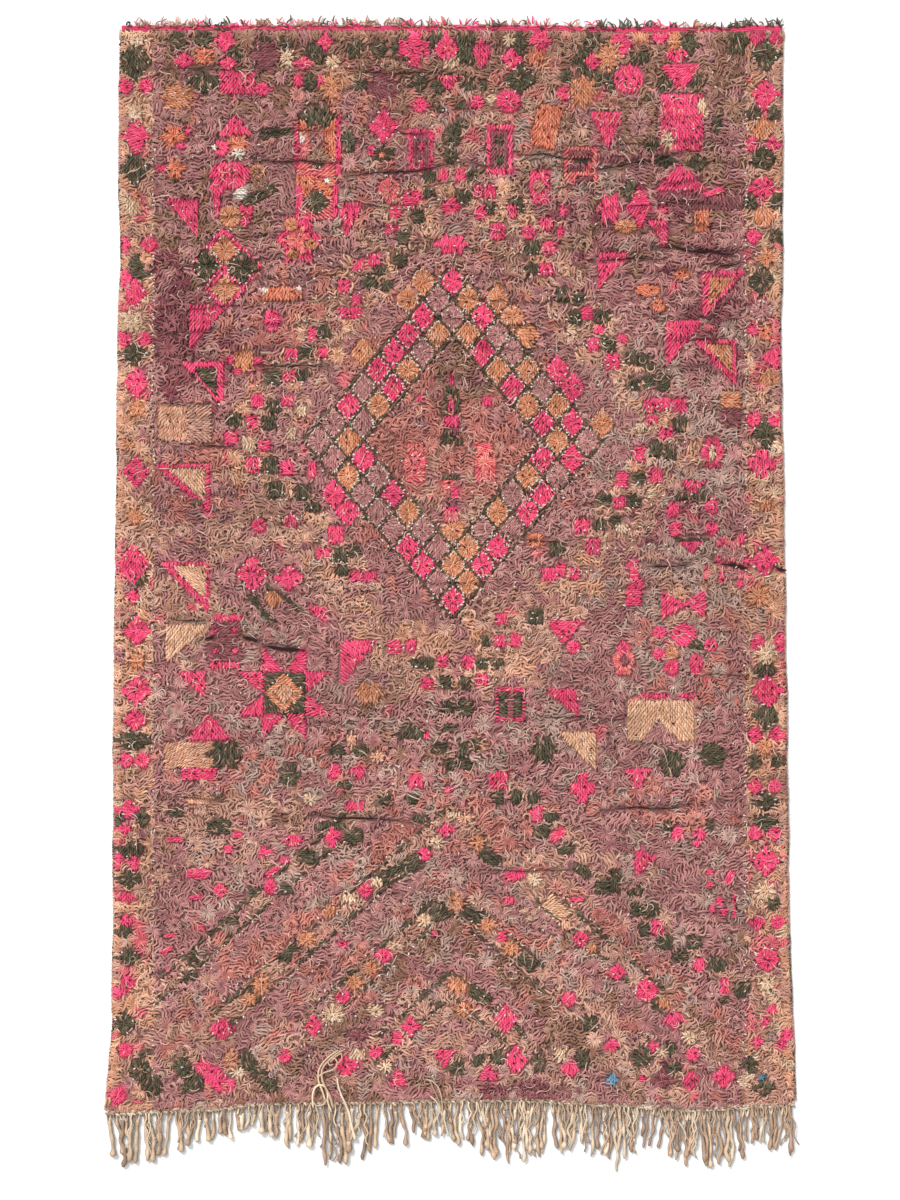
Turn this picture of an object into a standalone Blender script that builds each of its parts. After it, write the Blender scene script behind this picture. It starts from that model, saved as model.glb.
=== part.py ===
"""A vintage hand-knotted wool pile rug, lying flat on the floor.

Metres, +Z up. The underside lies at Z = 0, the head end points to +Y and the
warp fringe to -Y. The origin is at the middle of the knotted pile.

Five pieces: the knotted pile, the two overcast selvedge cords along its sides,
the flat-woven band that closes the head end, and the foot braid with the
knotted warp ends that hang from it.
"""

import math
import random

import bmesh
import bpy
from mathutils import Vector

# Driving sizes of the whole rug
PILE_LENGTH = 2.876
PIECE_GAP = 0.0003
SEAM_GAP = 0.00045

# The pile: a lumpy slab, with a wall in two rows and tufts that overhang it
PILE_THICKNESS = 0.0140
LUMP_HEIGHT = 0.0042
WALL_BREAK = 0.0064
PILE_ROWS = 60
PILE_COLUMNS = 32
TUFT_EVERY = 5
TUFT_SKIPPED = 4
TUFT_INSET = 0.0004
TUFT_ROOT_SHARE = 0.46
TUFT_REACH = (0.010, 0.018)
TUFT_SWAY = 0.005
TUFT_DROOP = -0.0001

# The selvedge cords along both sides
SELVEDGE_WIDTH = 0.008
SELVEDGE_HEIGHT = 0.0052

# The flat-woven band at the head and its curled yarn ends
BAND_WIDTH = 0.020
BAND_HEIGHT = 0.0060
BAND_ENDS = 52
END_ROOT_SHARE = 0.44
END_REACH = (0.010, 0.022)
END_SWAY = 0.006
END_CURL = 0.0015

# The foot braid and the warp strands that leave it
BRAID_WIDTH = 0.018
BRAID_HEIGHT = 0.0070
STRANDS = 132
STRAND_ROOT_SHARE = 0.54
STRAND_HEIGHT = 0.0050
STRAND_TIP_SHARE = 0.62
STRANDS_A_CLUMP = 3
CLUMP_PULL = 0.0042
STRAND_SWAY = 0.011

SEED = 11

# The sides: how far down from the head edge, and how far the outer line of
# the selvedge lies from the rug's middle line on the left and on the right
SIDE_TABLE = (
    (0.00, 0.895, 0.895),
    (0.30, 0.900, 0.895),
    (0.62, 0.895, 0.894),
    (0.84, 0.903, 0.890),
    (1.24, 0.906, 0.898),
    (1.56, 0.911, 0.902),
    (1.86, 0.914, 0.907),
    (2.38, 0.915, 0.912),
    (2.64, 0.918, 0.922),
    (2.80, 0.929, 0.928),
    (2.88, 0.938, 0.932),
)

# The head edge: how far across from the middle, and how far it drops there
HEAD_TABLE = (
    (-0.95, 0.001),
    (-0.40, 0.000),
    (0.28, 0.001),
    (0.40, 0.005),
    (0.66, 0.005),
    (0.95, 0.000),
)

# The foot edge: how far across, and how far it drops below its mean line
FOOT_TABLE = (
    (-0.95, 0.031),
    (-0.68, 0.022),
    (-0.50, 0.004),
    (-0.30, 0.001),
    (0.18, -0.005),
    (0.42, 0.007),
    (0.66, 0.022),
    (0.83, 0.011),
    (0.95, 0.004),
)

# Partings between the rows of knots, where the pile lies open: how far down
# from the head, how far across, the half length, and the depth
PARTING_TABLE = (
    (0.10, -0.52, 0.26, 0.0046),
    (0.12, -0.10, 0.28, 0.0046),
    (0.24, -0.22, 0.20, 0.0054),
    (0.33, 0.60, 0.20, 0.0050),
    (0.36, -0.45, 0.34, 0.0060),
    (0.57, 0.55, 0.28, 0.0048),
    (0.75, -0.20, 0.30, 0.0040),
    (0.92, -0.47, 0.12, 0.0054),
    (1.12, -0.70, 0.12, 0.0050),
    (1.44, 0.81, 0.12, 0.0060),
    (1.66, 0.24, 0.14, 0.0045),
    (1.86, 0.27, 0.22, 0.0050),
    (2.13, 0.66, 0.16, 0.0056),
    (2.13, -0.22, 0.15, 0.0054),
    (2.30, -0.02, 0.14, 0.0048),
)

# The warp fringe: how far across, and how far the strands there reach
FRINGE_TABLE = (
    (-0.94, 0.128),
    (-0.89, 0.160),
    (-0.77, 0.172),
    (-0.72, 0.118),
    (-0.58, 0.092),
    (-0.50, 0.084),
    (-0.40, 0.148),
    (-0.29, 0.184),
    (-0.18, 0.132),
    (0.00, 0.124),
    (0.16, 0.184),
    (0.24, 0.168),
    (0.32, 0.120),
    (0.43, 0.192),
    (0.51, 0.122),
    (0.65, 0.145),
    (0.72, 0.204),
    (0.81, 0.124),
    (0.90, 0.180),
    (0.95, 0.126),
)

# The waves that add up to the pile's lumps: how fast each turns across the rug
# and along it (radians a metre), its phase, and its share of the height
LUMP_WAVES = (
    (4.3, 5.1, 0.0, 0.16),
    (-3.1, 7.4, 2.0, 0.16),
    (17.0, 6.0, 1.0, 0.17),
    (-9.0, 19.0, 0.4, 0.17),
    (41.0, -23.0, 0.0, 0.12),
    (27.0, 44.0, 1.7, 0.12),
    (-46.0, 31.0, 4.1, 0.10),
)

# How a tuft leaves its wall, in two bends: the share of its reach, the share
# of its sway, the share of its lift, and what is left of its width and height
TUFT_BENDS = (
    (0.55, 0.4, 1.0, 0.86, 0.92),
    (0.45, 0.6, 0.5, 0.42, 0.60),
)

# Surface finishes: colour (linear), roughness and metallic value
FINISHES = {
    "faded aubergine wool": ((0.26, 0.14, 0.15, 1.0), 0.95, 0.0),
    "dark overcast wool": ((0.09, 0.07, 0.06, 1.0), 0.95, 0.0),
    "hot pink flat weave": ((0.78, 0.05, 0.17, 1.0), 0.9, 0.0),
    "natural wool warp": ((0.58, 0.46, 0.32, 1.0), 0.9, 0.0),
}


def clear_scene():
    """Remove whatever the new scene holds."""
    for thing in list(bpy.data.objects):
        bpy.data.objects.remove(thing, do_unlink=True)


def eased(share):
    """A smooth step from 0 to 1."""
    return share * share * (3.0 - 2.0 * share)


def read_table(table, place, column=1):
    """The table's value at a place, eased between its rows."""
    if place <= table[0][0]:
        return table[0][column]
    for low, high in zip(table, table[1:]):
        if place <= high[0]:
            share = (place - low[0]) / (high[0] - low[0])
            return low[column] + eased(share) * (high[column] - low[column])
    return table[-1][column]


def head_y(x):
    """The edge between the pile and the head band."""
    return PILE_LENGTH / 2 - read_table(HEAD_TABLE, x)


def foot_y(x):
    """The edge between the pile and the foot braid."""
    return -PILE_LENGTH / 2 - read_table(FOOT_TABLE, x)


def side_x(down, side):
    """The outer line of the selvedge, -1 for the left side and 1 for the right."""
    column = 1 if side < 0 else 2
    ripple = 0.0012 * math.sin(down * 21.0 + side) + 0.0008 * math.sin(down * 47.0)
    return side * (read_table(SIDE_TABLE, down, column) + ripple)


def side_station(row, side, inward=0.0):
    """A point on a side, in the plan, a little way in from its outer line."""
    down = PILE_LENGTH * row / PILE_ROWS
    x = side_x(down, side) - side * inward
    top = head_y(x)
    return Vector((x, top + (foot_y(x) - top) * row / PILE_ROWS))


def lump(x, y):
    """How far the pile rises or sinks at a place, between -1 and 1."""
    rise = 0.0
    for across, along, phase, weight in LUMP_WAVES:
        rise += weight * math.sin(across * x + along * y + phase)
    return rise


def parting_depth(x, row):
    """How deep the pile lies open at a place on a row of knots."""
    depth = 0.0
    for down, across, half_length, deep in PARTING_TABLE:
        nearest = round(down / PILE_LENGTH * PILE_ROWS)
        if row == nearest and abs(x - across) < half_length:
            share = 1.0 - abs(x - across) / half_length
            depth = max(depth, deep * eased(min(1.0, 2.0 * share)))
    return depth


def add_object(name, mesh_data, finish):
    """Turn a finished bmesh into a named object with its own material."""
    bmesh.ops.recalc_face_normals(mesh_data, faces=mesh_data.faces)
    mesh = bpy.data.meshes.new(name)
    mesh_data.to_mesh(mesh)
    mesh_data.free()
    thing = bpy.data.objects.new(name, mesh)
    bpy.context.collection.objects.link(thing)
    colour, roughness, metallic = FINISHES[finish]
    material = bpy.data.materials.new(name + " " + finish)
    material.use_nodes = True
    shader = material.node_tree.nodes["Principled BSDF"]
    shader.inputs["Base Color"].default_value = colour
    shader.inputs["Roughness"].default_value = roughness
    shader.inputs["Metallic"].default_value = metallic
    mesh.materials.append(material)
    return thing


def ring_faces(mesh_data, lower, upper):
    """Join two closed rings of the same number of points by a wall of faces."""
    count = len(lower)
    walls = []
    for index in range(count):
        after = (index + 1) % count
        corners = (lower[index], lower[after], upper[after], upper[index])
        walls.append(mesh_data.faces.new(corners))
    return walls


def stitch(mesh_data, first, second):
    """Fill the strip between two rows of points that both run towards +X."""
    here, there = 0, 0
    while here < len(first) - 1 or there < len(second) - 1:
        step_first = here < len(first) - 1
        if step_first and there < len(second) - 1:
            step_first = first[here + 1].co.x <= second[there + 1].co.x
        if step_first:
            mesh_data.faces.new((first[here], first[here + 1], second[there]))
            here += 1
        else:
            mesh_data.faces.new((first[here], second[there + 1], second[there]))
            there += 1


def grow_lock(mesh_data, root, steps):
    """Extrude a face into a tapering lock: each step is a move and a scale."""
    face = root
    for move, width_scale, height_scale in steps:
        grown = bmesh.ops.extrude_discrete_faces(mesh_data, faces=[face])
        face = grown["faces"][0]
        middle = face.calc_center_median() + move
        along = (face.verts[1].co - face.verts[0].co).to_2d().normalized()
        for vert in face.verts:
            place = vert.co + move - middle
            reach = along.x * place.x + along.y * place.y
            place.x -= along.x * reach * (1.0 - width_scale)
            place.y -= along.y * reach * (1.0 - width_scale)
            place.z *= height_scale
            vert.co = middle + place
    return face


def grow_tuft(mesh_data, wall, outward, reach, sway, root_share, lift):
    """Turn one face of a wall into a short tuft that stands on its middle."""
    bmesh.ops.inset_individual(mesh_data, faces=[wall], thickness=TUFT_INSET)
    middle = wall.calc_center_median()
    for vert in wall.verts:
        place = vert.co - middle
        place.x *= root_share
        place.y *= root_share
        vert.co = middle + place
    along = Vector((-outward.y, outward.x, 0.0))
    up = Vector((0.0, 0.0, lift))
    steps = []
    for out_share, sway_share, lift_share, width_left, height_left in TUFT_BENDS:
        move = outward * reach * out_share + along * sway * sway_share + up * lift_share
        steps.append((move, width_left, height_left))
    grow_lock(mesh_data, wall, steps)


def pile_outline(row):
    """The left and right ends of a row of knots, inside the selvedges."""
    inward = SELVEDGE_WIDTH + PIECE_GAP
    return side_station(row, -1, inward), side_station(row, 1, inward)


def pile_edge(edge, row, x):
    """The y of the slab's own straight-sided edge line, read at an x."""
    left, right = pile_outline(row)
    if not left.x < x < right.x:
        return edge(x)
    place = (x - left.x) / (right.x - left.x) * PILE_COLUMNS
    before = math.floor(place)
    stations = [left.x + (right.x - left.x) * (before + step) / PILE_COLUMNS for step in (0, 1)]
    low, high = edge(stations[0]), edge(stations[1])
    return low + (high - low) * (place - before)


def make_pile_field():
    """The knotted pile: one lumpy slab, flat below, with tufts on its sides."""
    mesh_data = bmesh.new()
    top = []
    for row in range(PILE_ROWS + 1):
        left, right = pile_outline(row)
        line = []
        for column in range(PILE_COLUMNS + 1):
            x = left.x + (right.x - left.x) * column / PILE_COLUMNS
            upper, lower = head_y(x), foot_y(x)
            y = upper + (lower - upper) * row / PILE_ROWS
            rim = row in (0, PILE_ROWS) or column in (0, PILE_COLUMNS)
            z = PILE_THICKNESS + LUMP_HEIGHT * lump(x, y) * (0.4 if rim else 1.0)
            z -= parting_depth(x, row)
            line.append(mesh_data.verts.new((x, y, z)))
        top.append(line)
    for upper_line, lower_line in zip(top, top[1:]):
        for column in range(PILE_COLUMNS):
            corners = (
                upper_line[column],
                upper_line[column + 1],
                lower_line[column + 1],
                lower_line[column],
            )
            mesh_data.faces.new(corners)

    rim = top[0] + [line[-1] for line in top[1:-1]] + top[-1][::-1]
    rim += [line[0] for line in top[-2:0:-1]]
    middle = [mesh_data.verts.new((v.co.x, v.co.y, WALL_BREAK)) for v in rim]
    bottom = [mesh_data.verts.new((v.co.x, v.co.y, 0.0)) for v in rim]
    tuft_walls = ring_faces(mesh_data, middle, rim)
    ring_faces(mesh_data, bottom, middle)

    right_run = bottom[PILE_COLUMNS:PILE_COLUMNS + PILE_ROWS + 1]
    left_run = [bottom[0]] + bottom[:-PILE_ROWS - 1:-1]
    foot_run = bottom[PILE_COLUMNS + PILE_ROWS:2 * PILE_COLUMNS + PILE_ROWS + 1][::-1]
    lines = [bottom[:PILE_COLUMNS + 1]]
    for row in range(1, PILE_ROWS):
        sparse = 16 if row in (1, PILE_ROWS - 1) else 6 if row in (2, PILE_ROWS - 2) else 2
        left, right = left_run[row], right_run[row]
        line = [left]
        for step in range(1, sparse):
            spot = left.co.lerp(right.co, step / sparse)
            line.append(mesh_data.verts.new(spot))
        lines.append(line + [right])
    lines.append(foot_run)
    for first, second in zip(lines, lines[1:]):
        stitch(mesh_data, first, second)

    bmesh.ops.recalc_face_normals(mesh_data, faces=mesh_data.faces)
    dice = random.Random(SEED)
    for side, start in ((1, PILE_COLUMNS), (-1, 2 * PILE_COLUMNS + PILE_ROWS)):
        for row in range(1, PILE_ROWS - 1):
            reach = dice.uniform(*TUFT_REACH)
            sway = dice.uniform(-TUFT_SWAY, TUFT_SWAY)
            if row % TUFT_EVERY != TUFT_SKIPPED:
                outward = Vector((side, 0.0, 0.0))
                wall = tuft_walls[start + row]
                grow_tuft(mesh_data, wall, outward, reach, sway, TUFT_ROOT_SHARE, TUFT_DROOP)
    return add_object("pile_field", mesh_data, "faded aubergine wool")


def make_selvedge(name, side):
    """A thick overcast cord along one side: a low rounded section, flat below."""
    mesh_data = bmesh.new()
    section = ((0.0, 0.0), (0.0, 0.55), (0.30, 1.0), (0.72, 1.0), (1.0, 0.50), (1.0, 0.0))
    rings = []
    for row in range(PILE_ROWS + 1):
        swell = 1.0 - 0.10 * (row % 2)
        ring = []
        for share, rise in section:
            spot = side_station(row, side, SELVEDGE_WIDTH * (1.0 - share * swell))
            ring.append(mesh_data.verts.new((spot.x, spot.y, rise * SELVEDGE_HEIGHT)))
        rings.append(ring)
    for first, second in zip(rings, rings[1:]):
        ring_faces(mesh_data, first, second)
    mesh_data.faces.new(rings[0])
    mesh_data.faces.new(rings[-1])
    return add_object(name, mesh_data, "dark overcast wool")


def make_head_band():
    """The flat-woven band across the head, with its short curled yarn ends."""
    mesh_data = bmesh.new()
    inner_low, inner_high, outer_high, outer_low = [], [], [], []
    left, right = side_x(0.0, -1), side_x(0.0, 1)
    for station in range(BAND_ENDS + 1):
        x = left + (right - left) * station / BAND_ENDS
        inner = pile_edge(head_y, 0, x) + SEAM_GAP
        outer = inner + BAND_WIDTH + 0.0010 * math.sin(station * 2.3)
        crown = BAND_HEIGHT * (1.0 + 0.08 * math.sin(station * 1.7))
        inner_low.append(mesh_data.verts.new((x, inner, 0.0)))
        inner_high.append(mesh_data.verts.new((x, inner, crown)))
        outer_high.append(mesh_data.verts.new((x, outer, BAND_HEIGHT)))
        outer_low.append(mesh_data.verts.new((x, outer, 0.0)))
    runs = (inner_low, inner_high, outer_high, outer_low)
    outer_walls = []
    for index, run in enumerate(runs):
        following = runs[(index + 1) % len(runs)]
        for station in range(BAND_ENDS):
            corners = (run[station], run[station + 1], following[station + 1], following[station])
            face = mesh_data.faces.new(corners)
            if run is outer_high:
                outer_walls.append(face)
    mesh_data.faces.new([run[0] for run in runs])
    mesh_data.faces.new([run[-1] for run in runs])
    bmesh.ops.recalc_face_normals(mesh_data, faces=mesh_data.faces)
    dice = random.Random(SEED + 1)
    for wall in outer_walls:
        reach = dice.uniform(*END_REACH)
        sway = dice.uniform(-END_SWAY, END_SWAY)
        grow_tuft(mesh_data, wall, Vector((0.0, 1.0, 0.0)), reach, sway, END_ROOT_SHARE, END_CURL)
    return add_object("head_band", mesh_data, "hot pink flat weave")


def strand_shift(index, x, share):
    """How far a strand has moved sideways at a share of its length."""
    place_in_clump = index % STRANDS_A_CLUMP - (STRANDS_A_CLUMP - 1) / 2
    pulled = -place_in_clump * CLUMP_PULL * eased(share)
    swung = STRAND_SWAY * math.sin(6.1 * x + 0.7) * share
    waved = 0.0030 * math.sin(9.0 * share + 3.7 * x)
    return pulled + swung + waved * share


def strand_width(share):
    """A strand's width at a share of its length, against that at its root."""
    return 1.0 - (1.0 - STRAND_TIP_SHARE) * share


def make_foot_fringe():
    """The foot braid and the knotted warp ends that lie on the floor below it."""
    mesh_data = bmesh.new()
    left, right = side_x(PILE_LENGTH, -1), side_x(PILE_LENGTH, 1)
    pitch = (right - left) / STRANDS
    xs = [left]
    for index in range(STRANDS):
        middle = left + (index + 0.5) * pitch
        half_root = pitch * STRAND_ROOT_SHARE / 2
        xs += [middle - half_root, middle + half_root]
    xs.append(right)
    inner_low, inner_high, ridge, outer_high, outer_low = [], [], [], [], []
    for x in xs:
        inner = pile_edge(foot_y, PILE_ROWS, x) - SEAM_GAP
        outer = inner - BRAID_WIDTH
        inner_low.append(mesh_data.verts.new((x, inner, 0.0)))
        inner_high.append(mesh_data.verts.new((x, inner, STRAND_HEIGHT)))
        ridge.append(mesh_data.verts.new((x, inner - BRAID_WIDTH * 0.4, BRAID_HEIGHT)))
        outer_high.append(mesh_data.verts.new((x, outer, STRAND_HEIGHT)))
        outer_low.append(mesh_data.verts.new((x, outer, 0.0)))
    runs = (inner_low, inner_high, ridge, outer_high, outer_low)
    roots = []
    for order, run in enumerate(runs):
        following = runs[(order + 1) % len(runs)]
        for station in range(len(xs) - 1):
            corners = (run[station], run[station + 1], following[station + 1], following[station])
            face = mesh_data.faces.new(corners)
            if run is outer_high and station % 2:
                roots.append(face)
    mesh_data.faces.new([run[0] for run in runs])
    mesh_data.faces.new([run[-1] for run in runs])
    bmesh.ops.recalc_face_normals(mesh_data, faces=mesh_data.faces)

    dice = random.Random(SEED + 2)
    shares = (0.0, 0.34, 0.68, 1.0)
    for index, root in enumerate(roots):
        x = left + (index + 0.5) * pitch
        length = read_table(FRINGE_TABLE, x) * dice.uniform(0.80, 1.0)
        steps = []
        for before, after in zip(shares, shares[1:]):
            across = strand_shift(index, x, after) - strand_shift(index, x, before)
            narrow = strand_width(after) / strand_width(before)
            steps.append((Vector((across, -length * (after - before), 0.0)), narrow, 1.0))
        grow_lock(mesh_data, root, steps)
    return add_object("foot_fringe", mesh_data, "natural wool warp")


def main():
    clear_scene()
    make_pile_field()
    make_selvedge("selvedge_left", -1)
    make_selvedge("selvedge_right", 1)
    make_head_band()
    make_foot_fringe()


main()
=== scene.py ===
# %% [markdown]
# # A hand-knotted wool rug on the floor
# The rug is about 1.9 m by 3.1 m and lies flat. It has a ground weave that
# nobody sees, tens of thousands of wool knots whose cut ends lie over each
# other as pile, a flat-woven pink band at the head, an overcast cord along
# each side and a braided foot with the warp ends hanging from it as fringe.
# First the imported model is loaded. It holds the plain solids, and every piece
# made here is laid over the solid that it stands for.

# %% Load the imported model
import math

import bpy
import numpy as np
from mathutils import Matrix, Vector
from mathutils.bvhtree import BVHTree


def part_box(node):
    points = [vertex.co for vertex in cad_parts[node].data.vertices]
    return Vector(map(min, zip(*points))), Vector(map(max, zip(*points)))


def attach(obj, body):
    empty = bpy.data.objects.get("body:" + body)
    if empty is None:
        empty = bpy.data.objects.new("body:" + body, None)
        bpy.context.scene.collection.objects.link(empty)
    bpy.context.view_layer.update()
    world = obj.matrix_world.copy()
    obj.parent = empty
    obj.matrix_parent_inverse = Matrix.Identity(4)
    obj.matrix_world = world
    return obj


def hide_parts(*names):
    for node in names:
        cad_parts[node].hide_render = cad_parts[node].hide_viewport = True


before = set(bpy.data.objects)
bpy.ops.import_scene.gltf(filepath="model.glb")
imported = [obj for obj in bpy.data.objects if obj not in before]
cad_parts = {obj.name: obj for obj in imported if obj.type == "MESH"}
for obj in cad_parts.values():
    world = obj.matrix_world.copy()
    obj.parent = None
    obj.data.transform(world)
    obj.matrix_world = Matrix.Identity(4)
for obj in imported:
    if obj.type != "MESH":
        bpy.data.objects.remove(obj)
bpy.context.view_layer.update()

# %% [markdown]
# ## Small helpers
# A Blender operator works on whatever is selected, so each step starts by
# deselecting everything. One function adds a shader node with its settings and
# links, and one turns a colour from the usual hex notation into the linear
# numbers that Blender calculates with.

# %% Helpers for selection, nodes and colours
def deselect():
    """Leave nothing selected."""
    bpy.ops.object.select_all(action="DESELECT")


def linear(hex_colour):
    """An sRGB colour such as #C98F5C as three linear numbers."""
    values = [int(hex_colour[i:i + 2], 16) / 255 for i in (1, 3, 5)]
    return [v / 12.92 if v <= 0.04045 else ((v + 0.055) / 1.055) ** 2.4 for v in values]


def add_node(tree, kind, settings=None, inputs=None):
    """Add a shader node; an input is a value, or a (node, output) pair to link."""
    node = tree.nodes.new(kind)
    for name, value in (settings or {}).items():
        setattr(node, name, value)
    for name, value in (inputs or {}).items():
        if isinstance(value, tuple) and isinstance(value[0], bpy.types.Node):
            tree.links.new(value[0].outputs[value[1]], node.inputs[name])
        else:
            node.inputs[name].default_value = value
    return node


def new_material(name):
    """A material with its node tree and its shader."""
    material = bpy.data.materials.new(name)
    material.use_nodes = True
    return material, material.node_tree, material.node_tree.nodes["Principled BSDF"]


# %% [markdown]
# ## Where the rug lies
# The rug's edges are a little uneven. They are read from the slab in the
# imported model, so that the yarn follows them: its lowest points give the four
# edge lines, and rays cast down on it give the height of its lumps.

# %% Read the slab's edges and height
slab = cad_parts["pile_field"].data
slab_points = np.array([v.co for v in slab.vertices])
slab_faces = [tuple(p.vertices) for p in slab.polygons]
slab_tree = BVHTree.FromPolygons([Vector(p) for p in slab_points], slab_faces)
TOUCHING = 1e-5
on_floor = slab_points[slab_points[:, 2] < TOUCHING]
HEAD_Y, FOOT_Y = on_floor[:, 1].max(), on_floor[:, 1].min()
HEAD_LINE = 1.438
MIDDLE_PART = 0.88
FOOT_CORNER, HEAD_CORNER = 0.06, 0.04
RAY_START = 0.1
PLAIN_HEIGHT = 0.012
corners = {(h, s): on_floor[np.argmax(s * on_floor[:, 0] + h * on_floor[:, 1])]
           for h in (-1, 1) for s in (-1, 1)}


def edge_line(chosen, along, ends):
    """One edge, with its two corners, as arrays sorted along the axis it runs on."""
    points = np.concatenate((on_floor[chosen], ends))
    points = points[np.argsort(points[:, along])]
    return points[:, along], points[:, 1 - along]


def of_side(side):
    """The points of the left (-1) or right (1) edge, clear of the corners."""
    x, y = on_floor[:, 0], on_floor[:, 1]
    return (side * x > MIDDLE_PART) & (y > FOOT_Y + FOOT_CORNER) & (y < HEAD_Y - HEAD_CORNER)


side_lines = {s: edge_line(of_side(s), 1, [corners[-1, s], corners[1, s]]) for s in (-1, 1)}
clear = np.abs(on_floor[:, 0]) < MIDDLE_PART
head_line = edge_line(clear & (on_floor[:, 1] > 0), 0, [corners[1, -1], corners[1, 1]])
foot_line = edge_line(clear & (on_floor[:, 1] < 0), 0, [corners[-1, -1], corners[-1, 1]])


def side_x(y, side):
    """The x of the left (-1) or right (1) edge of the pile."""
    return np.interp(y, *side_lines[side])


def head_y(x):
    """The y of the head edge of the pile."""
    return np.interp(x, *head_line)


def foot_y(x):
    """The y of the foot edge of the pile."""
    return np.interp(x, *foot_line)


def slab_top(x, y):
    """The height of the slab's lumpy top at many places."""
    down = Vector((0.0, 0.0, -1.0))
    heights = []
    for place in zip(np.ravel(x), np.ravel(y)):
        hit = slab_tree.ray_cast(Vector((place[0], place[1], RAY_START)), down)
        heights.append(hit[0].z if hit[0] else PLAIN_HEIGHT)
    return np.reshape(heights, np.shape(x))


print("Pile from", round(FOOT_Y, 3), "to", round(HEAD_Y, 3), "m")

# %% [markdown]
# ## The wools
# The weaver worked with hand-spun wool in a few dye baths, and a century of
# washing and sun made the aubergine of the ground fade to mauve, rose and
# taupe. Each wool is a short list of tones, because no two skeins came out of
# the bath alike, and each knot takes one of them.

# %% Name the wools and their tones
WOOLS = {
    "dust": ("#B8958A", "#A78478", "#C2A094"),
    "mauve": ("#B47C79", "#A66F6E", "#C18D86"),
    "aubergine": ("#92555A", "#844A50", "#A26466"),
    "rose": ("#C47D71", "#B77168", "#D08C7E"),
    "taupe": ("#9F7463", "#8F6555", "#B08672"),
    "beige": ("#C49280", "#B68472", "#D2A591"),
    "peach": ("#D9A084", "#CC9274", "#E3B296"),
    "blush": ("#DC7078", "#D3646E", "#E48A88"),
    "pink": ("#F0527C", "#F66086", "#E4466B"),
    "salmon": ("#EC7874", "#E66473", "#EA9684"),
    "olive": ("#5A5240", "#4D4636", "#6B624E"),
    "ochre": ("#D58D68", "#C77F5C", "#E09F7E"),
    "light": ("#E2B08E", "#D8A382", "#EBC0A2"),
    "orange": ("#DB7F62", "#D27056", "#E49275"),
    "cream": ("#DDB898", "#D2A887", "#E8CBB0"),
    "ivory": ("#EADBCC", "#E0CDBB", "#F3E8DC"),
    "blue": ("#5F8AA4", "#4F7A94", "#749AB0"),
}
WOOL_NAMES = list(WOOLS)
TONES = np.array([[linear(tone) for tone in tones] for tones in WOOLS.values()])
CODE = {name: index for index, name in enumerate(WOOL_NAMES)}
# The pale colour that lock tips go towards: partly sun-faded wool, partly a painted highlight.
PALE_TIP = np.array(linear("#E4BDA6"))
print(len(WOOLS), "wools of", TONES.shape[1], "tones")

# %% [markdown]
# ## Uneven by hand
# Nothing on the rug is quite regular. A soft noise, made of random values on a
# grid with smooth steps between them, gives drifts of tone and direction. The
# pile also lies in tufts about as wide as two fingers. In some, the yarns lie
# side by side like the teeth of a comb; in others they fan out from the middle
# or curl round it. Every place on the rug belongs to the nearest tuft.

# %% Soft noise and tufts
NOISE_CELLS = 128


def soft_noise(x, y, size, seed):
    """Smooth noise between 0 and 1, with features of a given size."""
    table = np.random.default_rng(seed).random((NOISE_CELLS, NOISE_CELLS))
    u, v = x / size, y / size
    i, j = np.floor(u).astype(int), np.floor(v).astype(int)
    s, t = u - i, v - j
    s, t = s * s * (3 - 2 * s), t * t * (3 - 2 * t)
    here, after = j % NOISE_CELLS, (j + 1) % NOISE_CELLS
    low, high = [table[(i + a) % NOISE_CELLS, here] * (1 - t) + table[(i + a) % NOISE_CELLS, after] * t
                 for a in (0, 1)]
    return low * (1 - s) + high * s


TUFT_PITCH = 0.037
TUFT_COLUMNS, TUFT_ROWS = 56, 84
tuft_luck = np.random.default_rng(11).random((TUFT_COLUMNS, TUFT_ROWS, 6))
tuft_i, tuft_j = np.meshgrid(np.arange(TUFT_COLUMNS), np.arange(TUFT_ROWS), indexing="ij")
tuft_x = (tuft_i - TUFT_COLUMNS / 2 + 0.15 + 0.7 * tuft_luck[..., 0]) * TUFT_PITCH
tuft_y = (tuft_j - TUFT_ROWS / 2 + 0.15 + 0.7 * tuft_luck[..., 1]) * TUFT_PITCH


def nearest_tuft(x, y):
    """The row and column of the tuft that a place belongs to."""
    i = np.floor(x / TUFT_PITCH + TUFT_COLUMNS / 2).astype(int)
    j = np.floor(y / TUFT_PITCH + TUFT_ROWS / 2).astype(int)
    best = np.full(np.shape(x), 9.0)
    best_i, best_j = np.zeros(np.shape(x), dtype=int), np.zeros(np.shape(x), dtype=int)
    for a in (-1, 0, 1):
        for b in (-1, 0, 1):
            here_i = np.clip(i + a, 0, TUFT_COLUMNS - 1)
            here_j = np.clip(j + b, 0, TUFT_ROWS - 1)
            distance = np.hypot(x - tuft_x[here_i, here_j], y - tuft_y[here_i, here_j])
            closer = distance < best
            best = np.where(closer, distance, best)
            best_i, best_j = np.where(closer, here_i, best_i), np.where(closer, here_j, best_j)
    return best_i, best_j


# %% [markdown]
# ## The weaver's chart
# The pattern is a traditional one: a lozenge of small checks inside a band of
# little squares, nested chevrons at the foot, a border of diamonds at each
# side and single motifs in the field. Places are counted as a weaver would,
# from the middle line and from the head edge, in thirds of a knot, which are
# 2.7 mm. A motif is a shape in a box, in one wool.

# %% The chart and the shapes that it can hold
COUNT = 0.0027
SPIKE = 0.35
TUFT_WEIGHT, DRIFT_WEIGHT = 0.75, 0.25
DRIFT_SIZE = 0.05


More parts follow.
